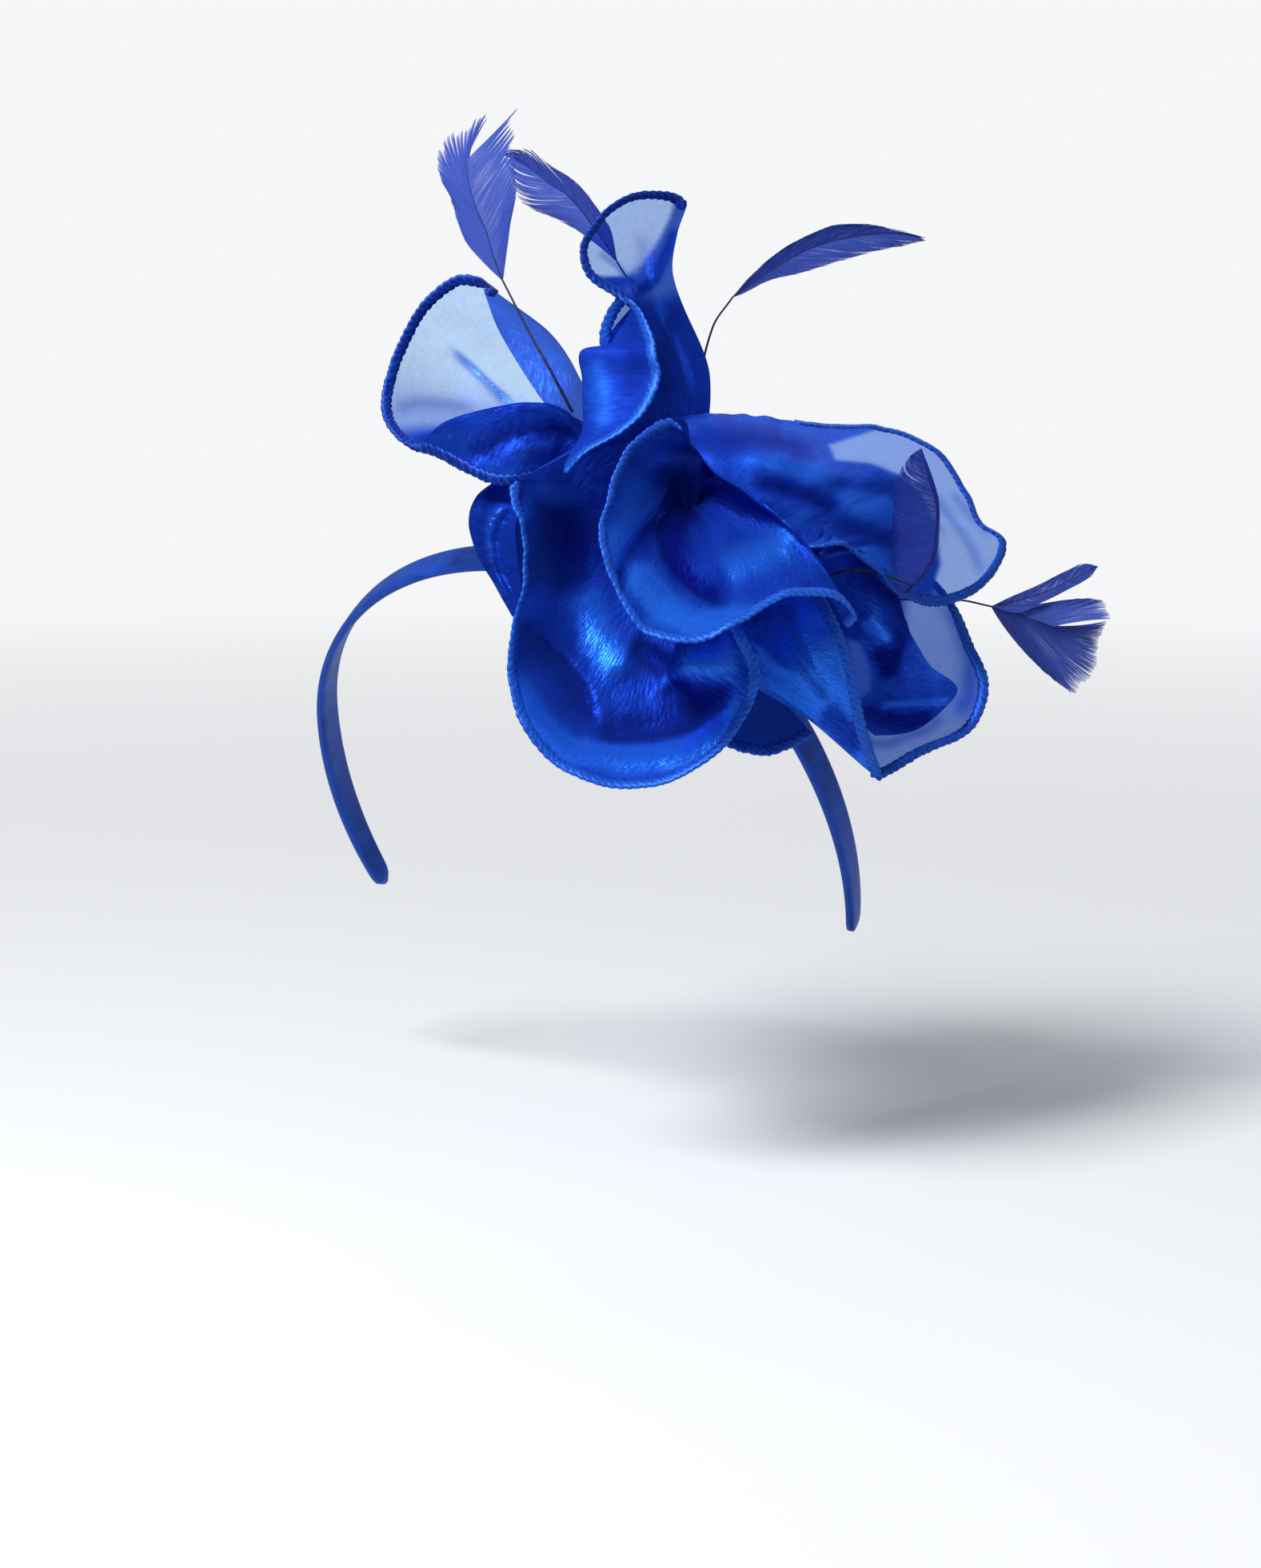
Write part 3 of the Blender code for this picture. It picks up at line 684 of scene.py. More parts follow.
loops["point_petal"] = {
    "cut": (62, 66, 24),
    # tone 0.95 paints light onto the whole petal, which lies in the rose's shade
    "along": 14, "across": 7, "tone": 0.95, "hemTone": 0.1,
    "sections": (
        ((14, 0, 32), (29, 2, 42), (42, 4, 44)),
        ((20, -2, 36), (35, -5, 47), (46, -5, 49)),
        ((22, -8, 36), (38, -14, 50), (50, -14, 50)),
        ((23, -13, 36), (39, -22, 50), (53, -25, 48)),
        ((23, -17, 35), (41, -29, 46), (56, -38, 42)),
        ((22, -20, 33), (42, -36, 40), (61, -52, 34)),
        ((21, -22, 30), (42, -37, 36), (60, -52, 34)),
    ),
    # the folds paint shade low down and at the top, and paint light along the ridge and the right edge
    "folds": (
        {"line": ((30, -4), (34, -12), (40, -22), (46, -30)),
         "lift": -2.4, "wide": 2.4, "steep": 0.7, "tone": 0.0},
        {"line": ((24, -10), (30, -18), (38, -26), (46, -36)),
         "lift": 1.8, "wide": 2.8, "tone": 0.25},
        {"line": ((44, -30), (50, -38), (56, -46)), "lift": 0.4, "wide": 6.0, "tone": -0.5},
        {"line": ((44, -6), (47, -16), (50, -26), (54, -38)),
         "lift": 1.6, "wide": 3.4, "tone": 0.35},
        {"line": ((18, -4), (28, -4), (38, -4)), "lift": -1, "wide": 5, "tone": -0.4},
    ),
}

loops["inner_petal"] = {
    "cut": (68, 73, 30),
    "along": 16, "across": 8, "hemmed": False,
    "sections": (
        ((36, 17, 28), (50, 17, 28), (66, 7, 15)),
        ((37, 10, 25), (56, 7, 27), (69, -2, 18)),
        ((38, 0, 24), (60, -8, 26), (72, -11, 20)),
        ((38, -5, 23), (64, -15, 24), (77, -19, 20)),
        ((37, -9, 22), (68, -22, 20), (85, -25, 17)),
        ((35, -12, 21), (66, -28, 20), (83, -30, 17)),
        ((33, -14, 21), (61, -32, 23), (73, -38, 20)),
        ((31, -15, 22), (52, -33, 25), (60, -40, 26)),
    ),
    "windows": (
        {"cover": 0.72, "soft": 1.0,
         "outline": [(52, -11), (56, -12), (60, -20), (60, -26), (56, -29), (52, -24)]},
        {"cover": 0.82, "soft": 1.5, "outline": [(71, -4), (74, -12), (90, -26), (66, -29), (67, -20)]},
    ),
    # the folds paint shade beside the crease edge, below the bulb and along the lower dips, and paint
    # highlights on the bulb and the light folds
    "folds": (
        {"line": ((67, 8), (69, 1), (71, -8), (67, -17), (62, -25)),
         "lift": -2.0, "wide": 0.8, "steep": 7, "tone": -0.4},
        {"line": ((56, -4), (61, -8), (66, -13)), "lift": 2.0, "wide": 2.2, "tone": 0.8},
        {"line": ((60, -14), (65, -18), (64, -23)), "lift": -1.5, "wide": 2.5, "tone": -0.6},
        {"line": ((60, -31), (67, -30), (76, -30), (85, -29)),
         "lift": 1.3, "wide": 1.2, "steep": 1.0, "tone": 0.35},
        {"line": ((54, -31), (62, -35), (70, -36), (82, -33)),
         "lift": -1.0, "wide": 3.0, "tone": -0.6},
        {"line": ((74, -10), (78, -17), (82, -23)), "lift": 0.6, "wide": 3.0, "tone": 0.35},
        {"line": ((50, 10), (60, 8), (70, 4)), "lift": -1.0, "wide": 5.0, "tone": -0.3},
    ),
}

loops["right_petal"] = {
    "cut": (87, 90, 42),
    "along": 16, "across": 8, "pleats": 3, "depth": 1.0, "smooth": True, "tone": 0.35, "hemTone": 0.0,
    "sections": (
        ((37, 9, 14), (64, 10, 4), (78, 10, -8)),
        ((38, 3, 14), (70, 2, 4), (86, 0, -6)),
        ((40, -3, 12), (74, -10, 0), (91, -12, -2)),
        ((40, -9, 11), (76, -22, 0), (95, -25, 4)),
        ((39, -13, 11), (73, -30, 3), (90, -37, 10)),
        ((37, -16, 12), (65, -35, 9), (77, -44, 16)),
        ((34, -18, 14), (57, -40, 16), (62, -52, 22)),
    ),
    "windows": (
        {"cover": 0.35, "soft": 2, "outline": [(50, -8), (59, -8), (62, -30), (50, -36)]},
        {"cover": 0.6, "soft": 3,
         "outline": [(70, 6), (98, 6), (100, -40), (60, -60), (58, -34), (70, -30)]},
    ),
    "folds": (
        {"line": ((82, 4), (88, -6), (91, -17), (90, -28), (84, -36)),
         "lift": 0.5, "wide": 3.0, "dense": 0.22},
        {"line": ((56, -42), (66, -42), (76, -38), (84, -32)),
         "lift": 0.6, "wide": 1.6, "dense": 0.15},
    ),
}

loops["left_wing"] = {
    "cut": (100, 145, 84),
    "along": 28, "across": 8, "pleats": 5, "depth": 0.8, "spread": 0.4, "hemTone": -0.35,
    "sections": (
        ((-34, 54, 22), (-50, 79, 11), (-56, 94, 3)),
        ((-26, 64, 17), (-36, 81, 8), (-54, 95, 0)),
        ((-30, 66, 4), (-46, 80, -6), (-57, 98, -4)),
        ((-35, 60, 2), (-55, 76, -12), (-65, 99, -6)),
        ((-36, 58, 1), (-61, 74, -14), (-75, 91, -6)),
        ((-36, 57, 2), (-64, 69, -12), (-81, 80, -4)),
        ((-36, 55, 4), (-65, 62, -8), (-86, 65, 0)),
        ((-35, 54, 8), (-63, 56, 0), (-85, 55, 6)),
        ((-33, 53, 14), (-68, 51, 12), (-78, 47, 13)),
        ((-31, 54, 20), (-65, 54, 22), (-70, 44, 18)),
        ((-30, 54, 25), (-56, 56, 27), (-61, 39, 24)),
        ((-29, 53, 27), (-46, 57, 29), (-52, 35, 27)),
        ((-27, 52, 27), (-37, 56, 29), (-43, 35, 28)),
        ((-24, 50, 25), (-29, 51, 27), (-34, 37, 24)),
        ((-19, 47, 24), (-23, 47, 25), (-26, 34, 22)),
    ),
    "sheer": ((0, 0.7), (0.09, 0.7), (0.12, 0.03), (0.3, 0.04), (0.52, 0.42), (0.6, 0.96), (1, 1.0)),
    # the folds paint a highlight along the crease, whose denser cloth is real, paint light on a bump of the
    # lip, and paint shade in the smudge and the lip's dark arcs
    "folds": (
        {"line": ((-68, 80), (-60, 73), (-53, 66), (-46, 59)),
         "lift": 1.6, "wide": 1.2, "steep": 1.6, "dense": 0.55, "tone": 0.5, "to": 0.97},
        {"line": ((-84, 58), (-77, 61), (-67, 61), (-58, 60)),
         "lift": -1.6, "wide": 2.2, "dense": 0.14, "tone": -0.4, "to": 0.97},
        {"line": ((-74, 90), (-66, 88), (-58, 84), (-50, 76)),
         "lift": 1.0, "wide": 3.5, "dense": 0.08},
        {"line": ((-62, 42), (-54, 45), (-47, 49), (-34, 50), (-24, 46)),
         "lift": -2.4, "wide": 2.8, "steep": 1.2, "tone": -0.4, "from": 0.45},
        {"line": ((-46, 44), (-40, 46), (-32, 45)),
         "lift": 1.6, "wide": 2.2, "tone": 0.15, "from": 0.5},
        {"line": ((-70, 54), (-60, 56), (-48, 57), (-34, 55)),
         "lift": 0.0, "wide": 1.2, "tone": -0.3, "from": 0.45},
    ),
}

loops["left_lobe"] = {
    "cut": (74, 42, 25),
    "along": 14, "across": 10, "spread": 0.4, "hemmed": False, "tone": 0.42,
    "sections": (
        ((-30, 32, 4), (-50, 38, 10), (-44, 36, 24)),
        ((-30, 27, 4), (-58, 32, 12), (-45, 29, 25)),
        ((-30, 20, 4), (-60, 24, 13), (-46, 20, 26)),
        ((-29, 14, 5), (-57, 14, 14), (-45, 11, 26)),
        ((-28, 8, 6), (-52, 5, 16), (-44, 2, 26)),
        ((-27, 4, 8), (-47, -4, 18), (-42, -5, 26)),
    ),
    # the folds paint the lobe's edge fold lighter and the dip beside it darker
    "folds": (
        {"line": ((-47, 30), (-52, 25), (-54, 18), (-52, 8), (-46, -3)),
         "lift": 3.0, "wide": 1.2, "steep": 5, "tone": 0.2},
        {"line": ((-50, 34), (-55, 29), (-57, 22), (-55, 12), (-49, 2)),
         "lift": -1.0, "wide": 1.6, "tone": -0.3},
    ),
}

loops["under_lobe"] = {
    "cut": (50, 32, 10),
    # tone paints the lobe darker for the shade under the rosette, and its fold paints light along the
    # bottom edge
    "along": 10, "across": 6, "spread": 0.6, "tone": -0.35, "hemTone": 0.0,
    "sections": (
        ((6, -5, 14), (12, -30, 20), (13, -40, 25)),
        ((9, -6, 14), (17, -33, 21), (21, -44, 25)),
        ((12, -6, 14), (22, -34, 21), (28, -45, 25)),
        ((15, -5, 14), (28, -32, 20), (35, -43, 24)),
        ((17, -4, 13), (33, -29, 19), (42, -39, 22)),
    ),
    "folds": ({"line": ((12, -38), (22, -42), (36, -40)), "wide": 3.5, "tone": 0.55},),
}

loops["back_petal_left"] = {
    "cut": (64, 87, 29),
    "along": 12, "across": 6, "spread": 0.6,
    "sections": (
        ((-10, 16, -6), (-26, 14, -14), (-40, 12, -18)),
        ((-12, 22, -8), (-32, 24, -22), (-48, 24, -26)),
        ((-10, 27, -10), (-28, 34, -26), (-44, 40, -36)),
        ((-7, 30, -11), (-20, 40, -30), (-30, 52, -38)),
        ((-4, 32, -11), (-10, 42, -32), (-16, 52, -46)),
        ((0, 33, -10), (-2, 44, -28), (-4, 52, -36)),
    ),
}

loops["back_petal_right"] = {
    "cut": (60, 75, 28),
    "along": 12, "across": 6, "spread": 0.6,
    "sections": (
        ((8, 32, -8), (8, 42, -24), (8, 50, -36)),
        ((13, 30, -9), (20, 42, -30), (22, 51, -46)),
        ((18, 26, -9), (34, 38, -30), (40, 46, -40)),
        ((21, 21, -8), (44, 31, -26), (54, 36, -40)),
        ((23, 15, -6), (50, 22, -18), (62, 22, -28)),
    ),
}

loops["top_loop"] = {
    "cut": (105, 66, 45),
    "along": 20, "across": 12, "spread": 0.3, "hemTone": -0.3,
    "sections": (
        ((12, 67, 14), (1, 97, 16), (2, 109, 18), (5, 118, 18)),
        ((7, 70, 5), (-3, 98, 9), (-2, 111, 8), (-1, 121, 20)),
        ((1, 72, 2), (-6, 97, 8), (-10, 109, 8), (-12, 119, 26)),
        ((-6, 74, 2), (-8, 95, 12), (-16, 105, 14), (-21, 112, 28)),
        ((-15, 76, 4), (-10, 93, 18), (-19, 100, 21), (-26, 103, 30)),
        ((-19, 75, 10), (-10, 91, 24), (-17, 95, 27), (-24, 95, 31)),
        ((-15, 71, 16), (-10, 89, 29), (-13, 90, 31), (-15, 89, 32)),
        ((-12, 66, 18), (-9, 83, 30), (-11, 86, 32), (-12, 86, 34)),
    ),
    "windows": (
        {"cover": 0.8, "soft": 3,
         "outline": [(-14, 90), (6, 92), (4, 106), (5, 122), (-2, 124), (-12, 100)]},
        {"cover": 0.34, "soft": 1.2,
         "outline": [(-28, 108), (-29, 97), (-20, 95), (-13, 96), (-10, 99), (-4, 108), (0, 115),
                     (3, 124), (-4, 127), (-20, 121)]},
    ),
    # the folds paint the ridges lighter and the dip darker
    "folds": (
        {"line": ((-18, 94), (-12, 98), (-8, 104), (-10, 112)),
         "lift": -1.2, "wide": 1.6, "steep": 2, "dense": 0.12},
        {"line": ((-22, 104), (-16, 100), (-10, 92)), "lift": 0.8, "wide": 1.4, "dense": 0.2},
        {"line": ((2, 112), (0, 106), (-4, 98), (-12, 90)),
         "lift": 1.2, "wide": 1.6, "dense": 0.3, "tone": 0.15},
        {"line": ((-6, 92), (-2, 84), (4, 72), (6, 60)),
         "lift": 1.6, "wide": 2.0, "steep": 0.6, "tone": 0.2},
        {"line": ((4, 90), (0, 80), (-2, 70), (0, 60)), "lift": -1.4, "wide": 2.6, "tone": -0.3},
    ),
}

loops["top_inner"] = {
    "cut": (60, 26, 5),
    "along": 10, "across": 8, "spread": 0.3, "inCad": False,
    "sections": (
        ((-11, 62, 20), (-10, 83, 25), (-15, 89, 30)),
        ((-12, 60, 20), (-12, 79, 24), (-18, 85, 27)),
        ((-12, 58, 20), (-14, 74, 24), (-20, 80, 25)),
        ((-13, 56, 20), (-15, 68, 24), (-20, 74, 24)),
        ((-14, 54, 20), (-16, 62, 24), (-19, 66, 24)),
    ),
    "sheer": ((0, 0.55), (1, 0.55)),
}

loops["top_fold"] = {
    "cut": (86, 69, 24),
    "along": 18, "across": 10, "gatherDepth": 0.2, "spread": 0.4, "smooth": True, "tone": 0.5,
    "sections": (
        ((-13, 79, 20), (-12, 85, 27), (-13, 88, 34)),
        ((-12, 76, 21), (-15, 80, 28), (-9, 83, 37)),
        ((-12, 73, 22), (-18, 75, 29), (-6, 77, 40)),
        ((-12, 70, 22), (-26, 73, 30), (-5, 71, 42)),
        ((-11, 64, 22), (-26, 65, 31), (-4, 65, 43)),
        ((-11, 60, 22), (-26, 58, 33), (-6, 58, 44)),
        ((-11, 54, 22), (-26, 51, 34), (-13, 49, 45)),
        ((-12, 50, 24), (-27, 46, 36), (-24, 43, 45)),
        ((-13, 46, 26), (-29, 41, 38), (-31, 36, 43)),
    ),
    # the folds paint the ridge lighter and the dip darker
    "folds": (
        {"line": ((-24, 70), (-21, 64), (-20, 56), (-22, 48)),
         "lift": 0.8, "wide": 3, "tone": 0.2, "from": 0.5},
        {"line": ((-12, 86), (-11, 76), (-10, 66), (-14, 56)),
         "lift": -1.0, "wide": 3, "tone": -0.25, "from": 0.5},
    ),
}

loops["over_petal"] = {
    "cut": (110, 250, 115),
    "along": 24, "across": 12, "spread": 0.4, "smooth": True, "tone": 0.62,
    "hemSpan": (0.28, 1), "hemTone": 0.0,
    "sections": (
        ((10, 48, 30), (6, 44, 47), (4, 52, 38), (-5, 54, 26)),
        ((16, 43, 38), (12, 36, 52), (15, 47, 44), (14, 56, 18)),
        ((24, 38, 42), (22, 29, 53), (30, 42, 46), (30, 56, 6)),
        ((30, 34, 42), (28, 24, 53), (42, 38, 42), (48, 55, -12)),
        ((34, 31, 42), (32, 21, 53), (52, 36, 34), (67, 55, -24)),
        ((36, 30, 42), (34, 19, 53), (60, 33, 28), (84, 47, -24)),
        ((38, 28, 42), (36, 17, 53), (65, 30, 24), (91, 35, -21)),
        ((40, 26, 42), (38, 15, 53), (67, 26, 21), (96, 25, -17)),
        ((41, 25, 42), (39, 14, 53), (68, 24, 20), (102, 20, -15)),
        ((42, 24, 42), (40, 13, 53), (68, 21, 21), (99, 11, -11)),
        ((43, 23, 42), (41, 12, 53), (66, 18, 22), (92, 4, -7)),
        ((44, 21, 42), (42, 11, 53), (60, 14, 30), (79, 0, 5)),
        ((45, 19, 46), (43, 12, 55), (55, 14, 38), (67, 3, 24)),
        ((45, 18, 45), (44, 12, 53), (50, 16, 41), (59, 9, 39)),
        ((44, 19, 44), (44, 14, 50), (47, 18, 43), (52, 14, 47)),
        ((43, 20, 44), (43, 16, 47), (44, 17, 48), (46, 15, 55)),
        ((42, 20, 44), (42, 17, 46), (41, 16, 50), (39, 14, 56)),
    ),
    "windows": (
        {"cover": 0.96, "soft": 3, "outline": [(36, 51), (48, 46), (56, 48), (54, 57), (36, 57)]},
        {"cover": 0.44, "soft": 1.2,
         "outline": [(47, 47), (53, 50), (64, 55), (80, 56), (92, 46), (100, 34), (108, 18),
                     (98, 0), (84, -3), (78, 3), (81, 12), (79, 24), (75, 33), (68, 38), (58, 41),
                     (48, 41)]},
    ),
    # the folds paint shade in the dips under the crest and across the middle, and paint light on the ridges
    "folds": (
        {"line": ((22, 33), (32, 31), (42, 28), (50, 24)),
         "lift": -2.4, "wide": 2.6, "steep": 0.8, "tone": -0.45, "from": 0.35},
        {"line": ((4, 46), (16, 47), (30, 46), (44, 44)),
         "lift": -1.2, "wide": 4.0, "tone": -0.3, "from": 0.3},
        {"line": ((18, 42), (32, 38), (46, 35), (62, 34)),
         "lift": 1.6, "wide": 3.2, "tone": 0.12, "from": 0.35},
        {"line": ((44, 34), (56, 33), (68, 33), (80, 32)),
         "lift": -1.4, "wide": 2.4, "tone": -0.2, "dense": 0.2, "from": 0.5},
        {"line": ((56, 42), (66, 36), (76, 27), (84, 18)),
         "lift": 2.0, "wide": 2.0, "dense": 0.12, "from": 0.5},
        {"line": ((76, 38), (84, 28), (92, 16), (96, 8)),
         "lift": -1.6, "wide": 1.8, "dense": 0.14, "from": 0.5},
        {"line": ((84, 36), (92, 28), (98, 20)),
         "lift": 1.2, "wide": 1.8, "dense": 0.12, "from": 0.5},
        {"line": ((46, 29), (58, 27), (70, 26), (80, 26)),
         "lift": 0.6, "wide": 4.0, "tone": 0.35, "from": 0.3},
        {"line": ((46, 22), (56, 20), (66, 18), (76, 18)),
         "lift": -1.8, "wide": 2.6, "tone": -0.3, "from": 0.5},
        {"line": ((50, 12), (58, 12), (66, 8), (74, 3)),
         "lift": 2.2, "wide": 2.6, "tone": 0.25, "from": 0.5},
    ),
}

for number, (name, loop) in enumerate(loops.items()):
    makeLoop(name, loop, number + 1)
print("organza loops and hems made")


# feathers

quill = {"thick": 0.48, "thin": 0.28, "ribThick": 0.2, "ribThin": 0.05, "sides": 8}
barb = {"spacing": 0.2, "wide": 0.3, "tipShare": 0.2, "points": 8, "clump": 11, "twist": 0.06,
        "tilt": 0.1}

# Each feather: the bare quill, then the rib inside the vane, and the vane's outline to each side of it,
# from the base to the tip. The columns are across, up and out, and an outline's are across and up.
# The barbs sweep up the rib by the share lead, and where the tip is trimmed they stay apart up to it.
# Fray starts at the share frayFrom. camber bends the vane's left and right, and shade is their tone.

# shade is partly the vanes' own colour and partly painted light: feather_4 painted darker for the shade
# under the over petal, feather_1 lighter as if lit from behind, feather_5 lighter against its own barbs'
# shadow
plumes = {}

plumes["feather_1"] = {
    "bare": ((-29, 55.5, 27), (-35, 67, 26), (-42, 80, 21), (-50, 96, 14)),
    "vanes": (
        {
            "rib": ((-50, 96, 14), (-53, 104, 13), (-55, 111, 12), (-58, 118, 12), (-60, 125, 12),
                    (-61, 132, 12)),
            "left": ((-50, 96), (-56, 102), (-61, 108), (-64, 115), (-66, 122), (-69, 128),
                     (-70, 133), (-68, 138), (-64, 142), (-60, 144), (-54, 147)),
            "right": ((-50, 96), (-49, 104), (-48, 111), (-46, 121), (-46, 129), (-47, 136),
                      (-47, 142), (-46, 147)),
            "lead": 0.36, "trimmed": True, "frayFrom": 0.5, "fray": 0.8,
            "camber": (-0.35, 0.12), "shade": (0.8, 1.6),
        },
    ),
}

plumes["feather_2"] = {
    "bare": ((3, 22.4, 8), (0, 42, -3), (-3, 64, -8), (-11, 96, -12), (-16, 105, -12)),
    "vanes": (
        {
            "rib": ((-16, 105, -12), (-22, 114, -12), (-31, 125, -12), (-37, 129, -12),
                    (-42, 133, -12), (-47, 136, -12)),
            "left": ((-16, 105), (-22, 110), (-29, 115), (-37, 119), (-42, 121), (-47, 126),
                     (-49, 132), (-50, 136)),
            "right": ((-16, 105), (-18, 115), (-23, 123), (-29, 130), (-37, 135), (-42, 139),
                      (-47, 140), (-51, 138)),
            "lead": 0.26, "frayFrom": 0.45, "fray": 0.5,
            "camber": (0.1, -0.25), "shade": (1.4, 0.1),
        },
    ),
}

plumes["feather_3"] = {
    "bare": ((7, 22.4, 8), (9, 42, 1), (9, 66, -2), (13, 84, -2), (19, 93, -2)),
    "vanes": (
        {
            "rib": ((19, 93, -2), (26, 98, -2), (39, 106, -2), (50, 110, -2), (64, 112, -2),
                    (75, 111, -2)),
            "left": ((19, 93), (24, 99), (33, 107), (42, 112), (50, 115), (61, 115), (70, 113),
                     (77, 111)),
            "right": ((19, 93), (22, 94), (30, 98), (39, 100), (49, 103), (59, 106), (68, 108),
                      (77, 110)),
            "lead": 0.26, "frayFrom": 0.55, "fray": 0.5,
            "camber": (-0.3, 0.1), "shade": (-0.1, 0.5),
        },
    ),
}

plumes["feather_4"] = {
    "bare": ((15.6, 9.3, 18.4), (36, 3, 32), (50, 8, 38), (58, 8, 37), (66, 6, 33), (71, 4, 31)),
    "vanes": (
        {
            "rib": ((71, 4, 31), (74, 8, 30), (77, 14, 29), (78, 21, 28), (78, 29, 27),
                    (76, 36, 26), (74, 45, 24)),
            "left": ((71, 4), (69, 2), (66, 4), (65, 10), (65, 18), (65, 25), (65, 31), (67, 37),
                     (69, 41), (71, 43)),
            "right": ((71, 4), (75, 7), (78, 13), (79, 21), (79, 29), (77, 37), (74, 45)),
            "lead": 0.2, "frayFrom": 0.75, "fray": 0.4,
            "camber": (-0.3, 0.1), "shade": (-1.0, -0.9),
        },
    ),
}

plumes["feather_5"] = {
    "bare": ((16, 9, 7), (40, 3, 0), (66, 2, -8), (88, 2, -12), (98, 0, -12)),
    "vanes": (
        {
            "rib": ((98, 0, -12), (105, -2, -12), (111, -4, -12), (117, -6, -12)),
            "left": ((98, 0), (106, -2), (112, 0), (121, 2), (131, 2), (133, -1), (134, -4)),
            "right": ((98, 0), (102, -6), (107, -12), (113, -18), (119, -23), (124, -26),
                      (127, -23), (130, -20), (131, -14), (132, -8), (134, -4)),
            "lead": 0.42, "trimmed": True, "frayFrom": 1.0, "fray": 0.2,
            "camber": (0.15, -0.3), "shade": (0.9, 0.7),
        },
        {
            "rib": ((99, 0, -12), (107, 2, -11), (116, 5, -10), (124, 9, -9), (130, 12, -9)),
            "left": ((98, 0), (104, 3), (111, 6), (119, 10), (126, 13), (130, 12)),
            "right": ((99, 0), (106, -1), (113, 1), (121, 5), (128, 9), (130, 12)),
            "lead": 0.2, "frayFrom": 0.8, "fray": 0.3,
            "camber": (-0.2, 0.1), "shade": (0.3, 0.5),
        },
    ),
}


def addQuill(rib, thick, thin, verts, faces, thread):
    rings = []
    last = len(rib) - 1
    for i, place in enumerate(rib):
        way = (rib[min(i + 1, last)] - rib[max(i - 1, 0)]).normalized()
        aside = way.cross(Vector((0, 0, 1))).normalized()
        lift = aside.cross(way)
        radius = thick + (thin - thick) * i / last
        ring = []
        for k in range(quill["sides"]):
            angle = 2 * pi * k / quill["sides"]
            ring.append(len(verts))
            verts.append(place + (aside * cos(angle) + lift * sin(angle)) * radius)
            thread.append((i * 0.5, angle, 1.0))
        rings.append(ring)
    joinRings(rings, faces)


def along(points, share):  # a place on an evenly stepped run of points, at a share of its length
    at = min(1.0, max(0.0, share)) * (len(points) - 1)
    i = min(int(at), len(points) - 2)
    return points[i].lerp(points[i + 1], at - i)


def addVane(look, side, verts, faces, thread, shade, rng):
    rib = curveThrough([Vector(p) for p in look["rib"]], 60)
    edge = curveThrough([Vector((x, y, 0)) for x, y in look["left" if side < 0 else "right"]], 90)
    lead = look["lead"]
    camber = look["camber"][0 if side < 0 else 1]
    tone = look["shade"][0 if side < 0 else 1]
    whole, bend = (1 - lead, barb["tilt"]) if look.get("trimmed") else (1.0, 1.0)
    count = round(lengthOf(edge) / barb["spacing"] * (1 + lead))
    last = barb["points"] - 1
    for n in range(count):
        start = -lead + (whole + lead) * n / count
        if n % barb["clump"] == 0:
            middle = start + (whole + lead) / count * barb["clump"] * rng.uniform(0.3, 0.7)
            frayed = smooth(look["frayFrom"] - lead, 1.0 - lead * 0.5, start)
            tight = 0.12 + look["fray"] * frayed * rng.uniform(0.5, 1.0)
            reach = 1.0 + rng.uniform(-0.10, 0.05) * (0.25 + 1.5 * frayed)
            lift = rng.uniform(-0.5, 0.5) * (0.4 + frayed)
        own = rng.uniform(-0.03, 0.03) * (0.3 + frayed)
        # the side's shade, partly painted light, with random change from barb to barb
        pale = tone + rng.uniform(-0.15, 0.15)
        points = []
        for k in range(last + 1):
            t = k / last
            sweep = 1 - bend * (1 - t)
            at = start + lead * sweep
            at += (middle + lead * sweep - at) * tight * t * t
            root = along(rib, (at - lead * (1 - bend)) / whole)
            tip = along(edge, at)
            tip.z = root.z
            place = root.lerp(tip, (1 - (1 - t) ** 1.35) * (reach + own))
            place.z += camber * (place - root).length + lift * t * t
            points.append(place)
        twist = Vector((0, 0, barb["twist"] * (1 if n % 2 else -1)))
        rows = []
        for k, place in enumerate(points):
            t = k / last
            way = points[min(k + 1, last)] - points[max(k - 1, 0)]
            if way.length < 1e-5:
                way = Vector((0, 1, 0))
            aside = way.cross(Vector((0, 0, 1))).normalized()
            narrow = (1 - barb["tipShare"]) * smooth(0.7 - 0.3 * frayed, 1, t)
            half = barb["wide"] / 2 * (1 - narrow)
            rows.append((len(verts), len(verts) + 1))
            verts.extend((place - aside * half - twist, place + aside * half + twist))
            thread.extend(((n * 0.5, t * 20, 2.0 + side), (n * 0.5 + 0.3, t * 20, 2.0 + side)))
            shade.extend((pale, pale))
        for a, b in zip(rows, rows[1:]):
            faces.append((a[0], a[1], b[1], b[0]))


def makePlume(name, look, seed):
    rng = random.Random(seed)
    verts, faces, thread, shade = [], [], [], []
    for vaneLook in look["vanes"]:
        for side in (-1, 1):
            addVane(vaneLook, side, verts, faces, thread, shade, rng)
    vanePiece = addPiece(name + "_vane", verts, faces, vane, thread=thread, shade=shade)
    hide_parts(name)
    verts, faces, thread = [], [], []
    bare = curveThrough([Vector(p) for p in look["bare"]], 80)
    addQuill(bare, quill["thick"], quill["thin"], verts, faces, thread)
    for vaneLook in look["vanes"]:
        rib = curveThrough([Vector(p) for p in vaneLook["rib"]], 40)
        addQuill(rib, quill["ribThick"], quill["ribThin"], verts, faces, thread)
    addPiece(name + "_quill", verts, faces, quillFinish, thread=thread)
    print(name, "made")


for number, (name, look) in enumerate(plumes.items()):
    makePlume(name, look, number + 11)


# alice band

# the crown's arch ends at the angle crownHalf, and a leg of the radius leg runs on from it to the angle end
band = {"crownHalf": 76, "leg": 150, "end": 104, "wide": 12, "tipWide": 8, "thick": 3,
        "taperFrom": 0.7, "square": 0.55, "round": 4.0, "rings": 260, "sides": 28}


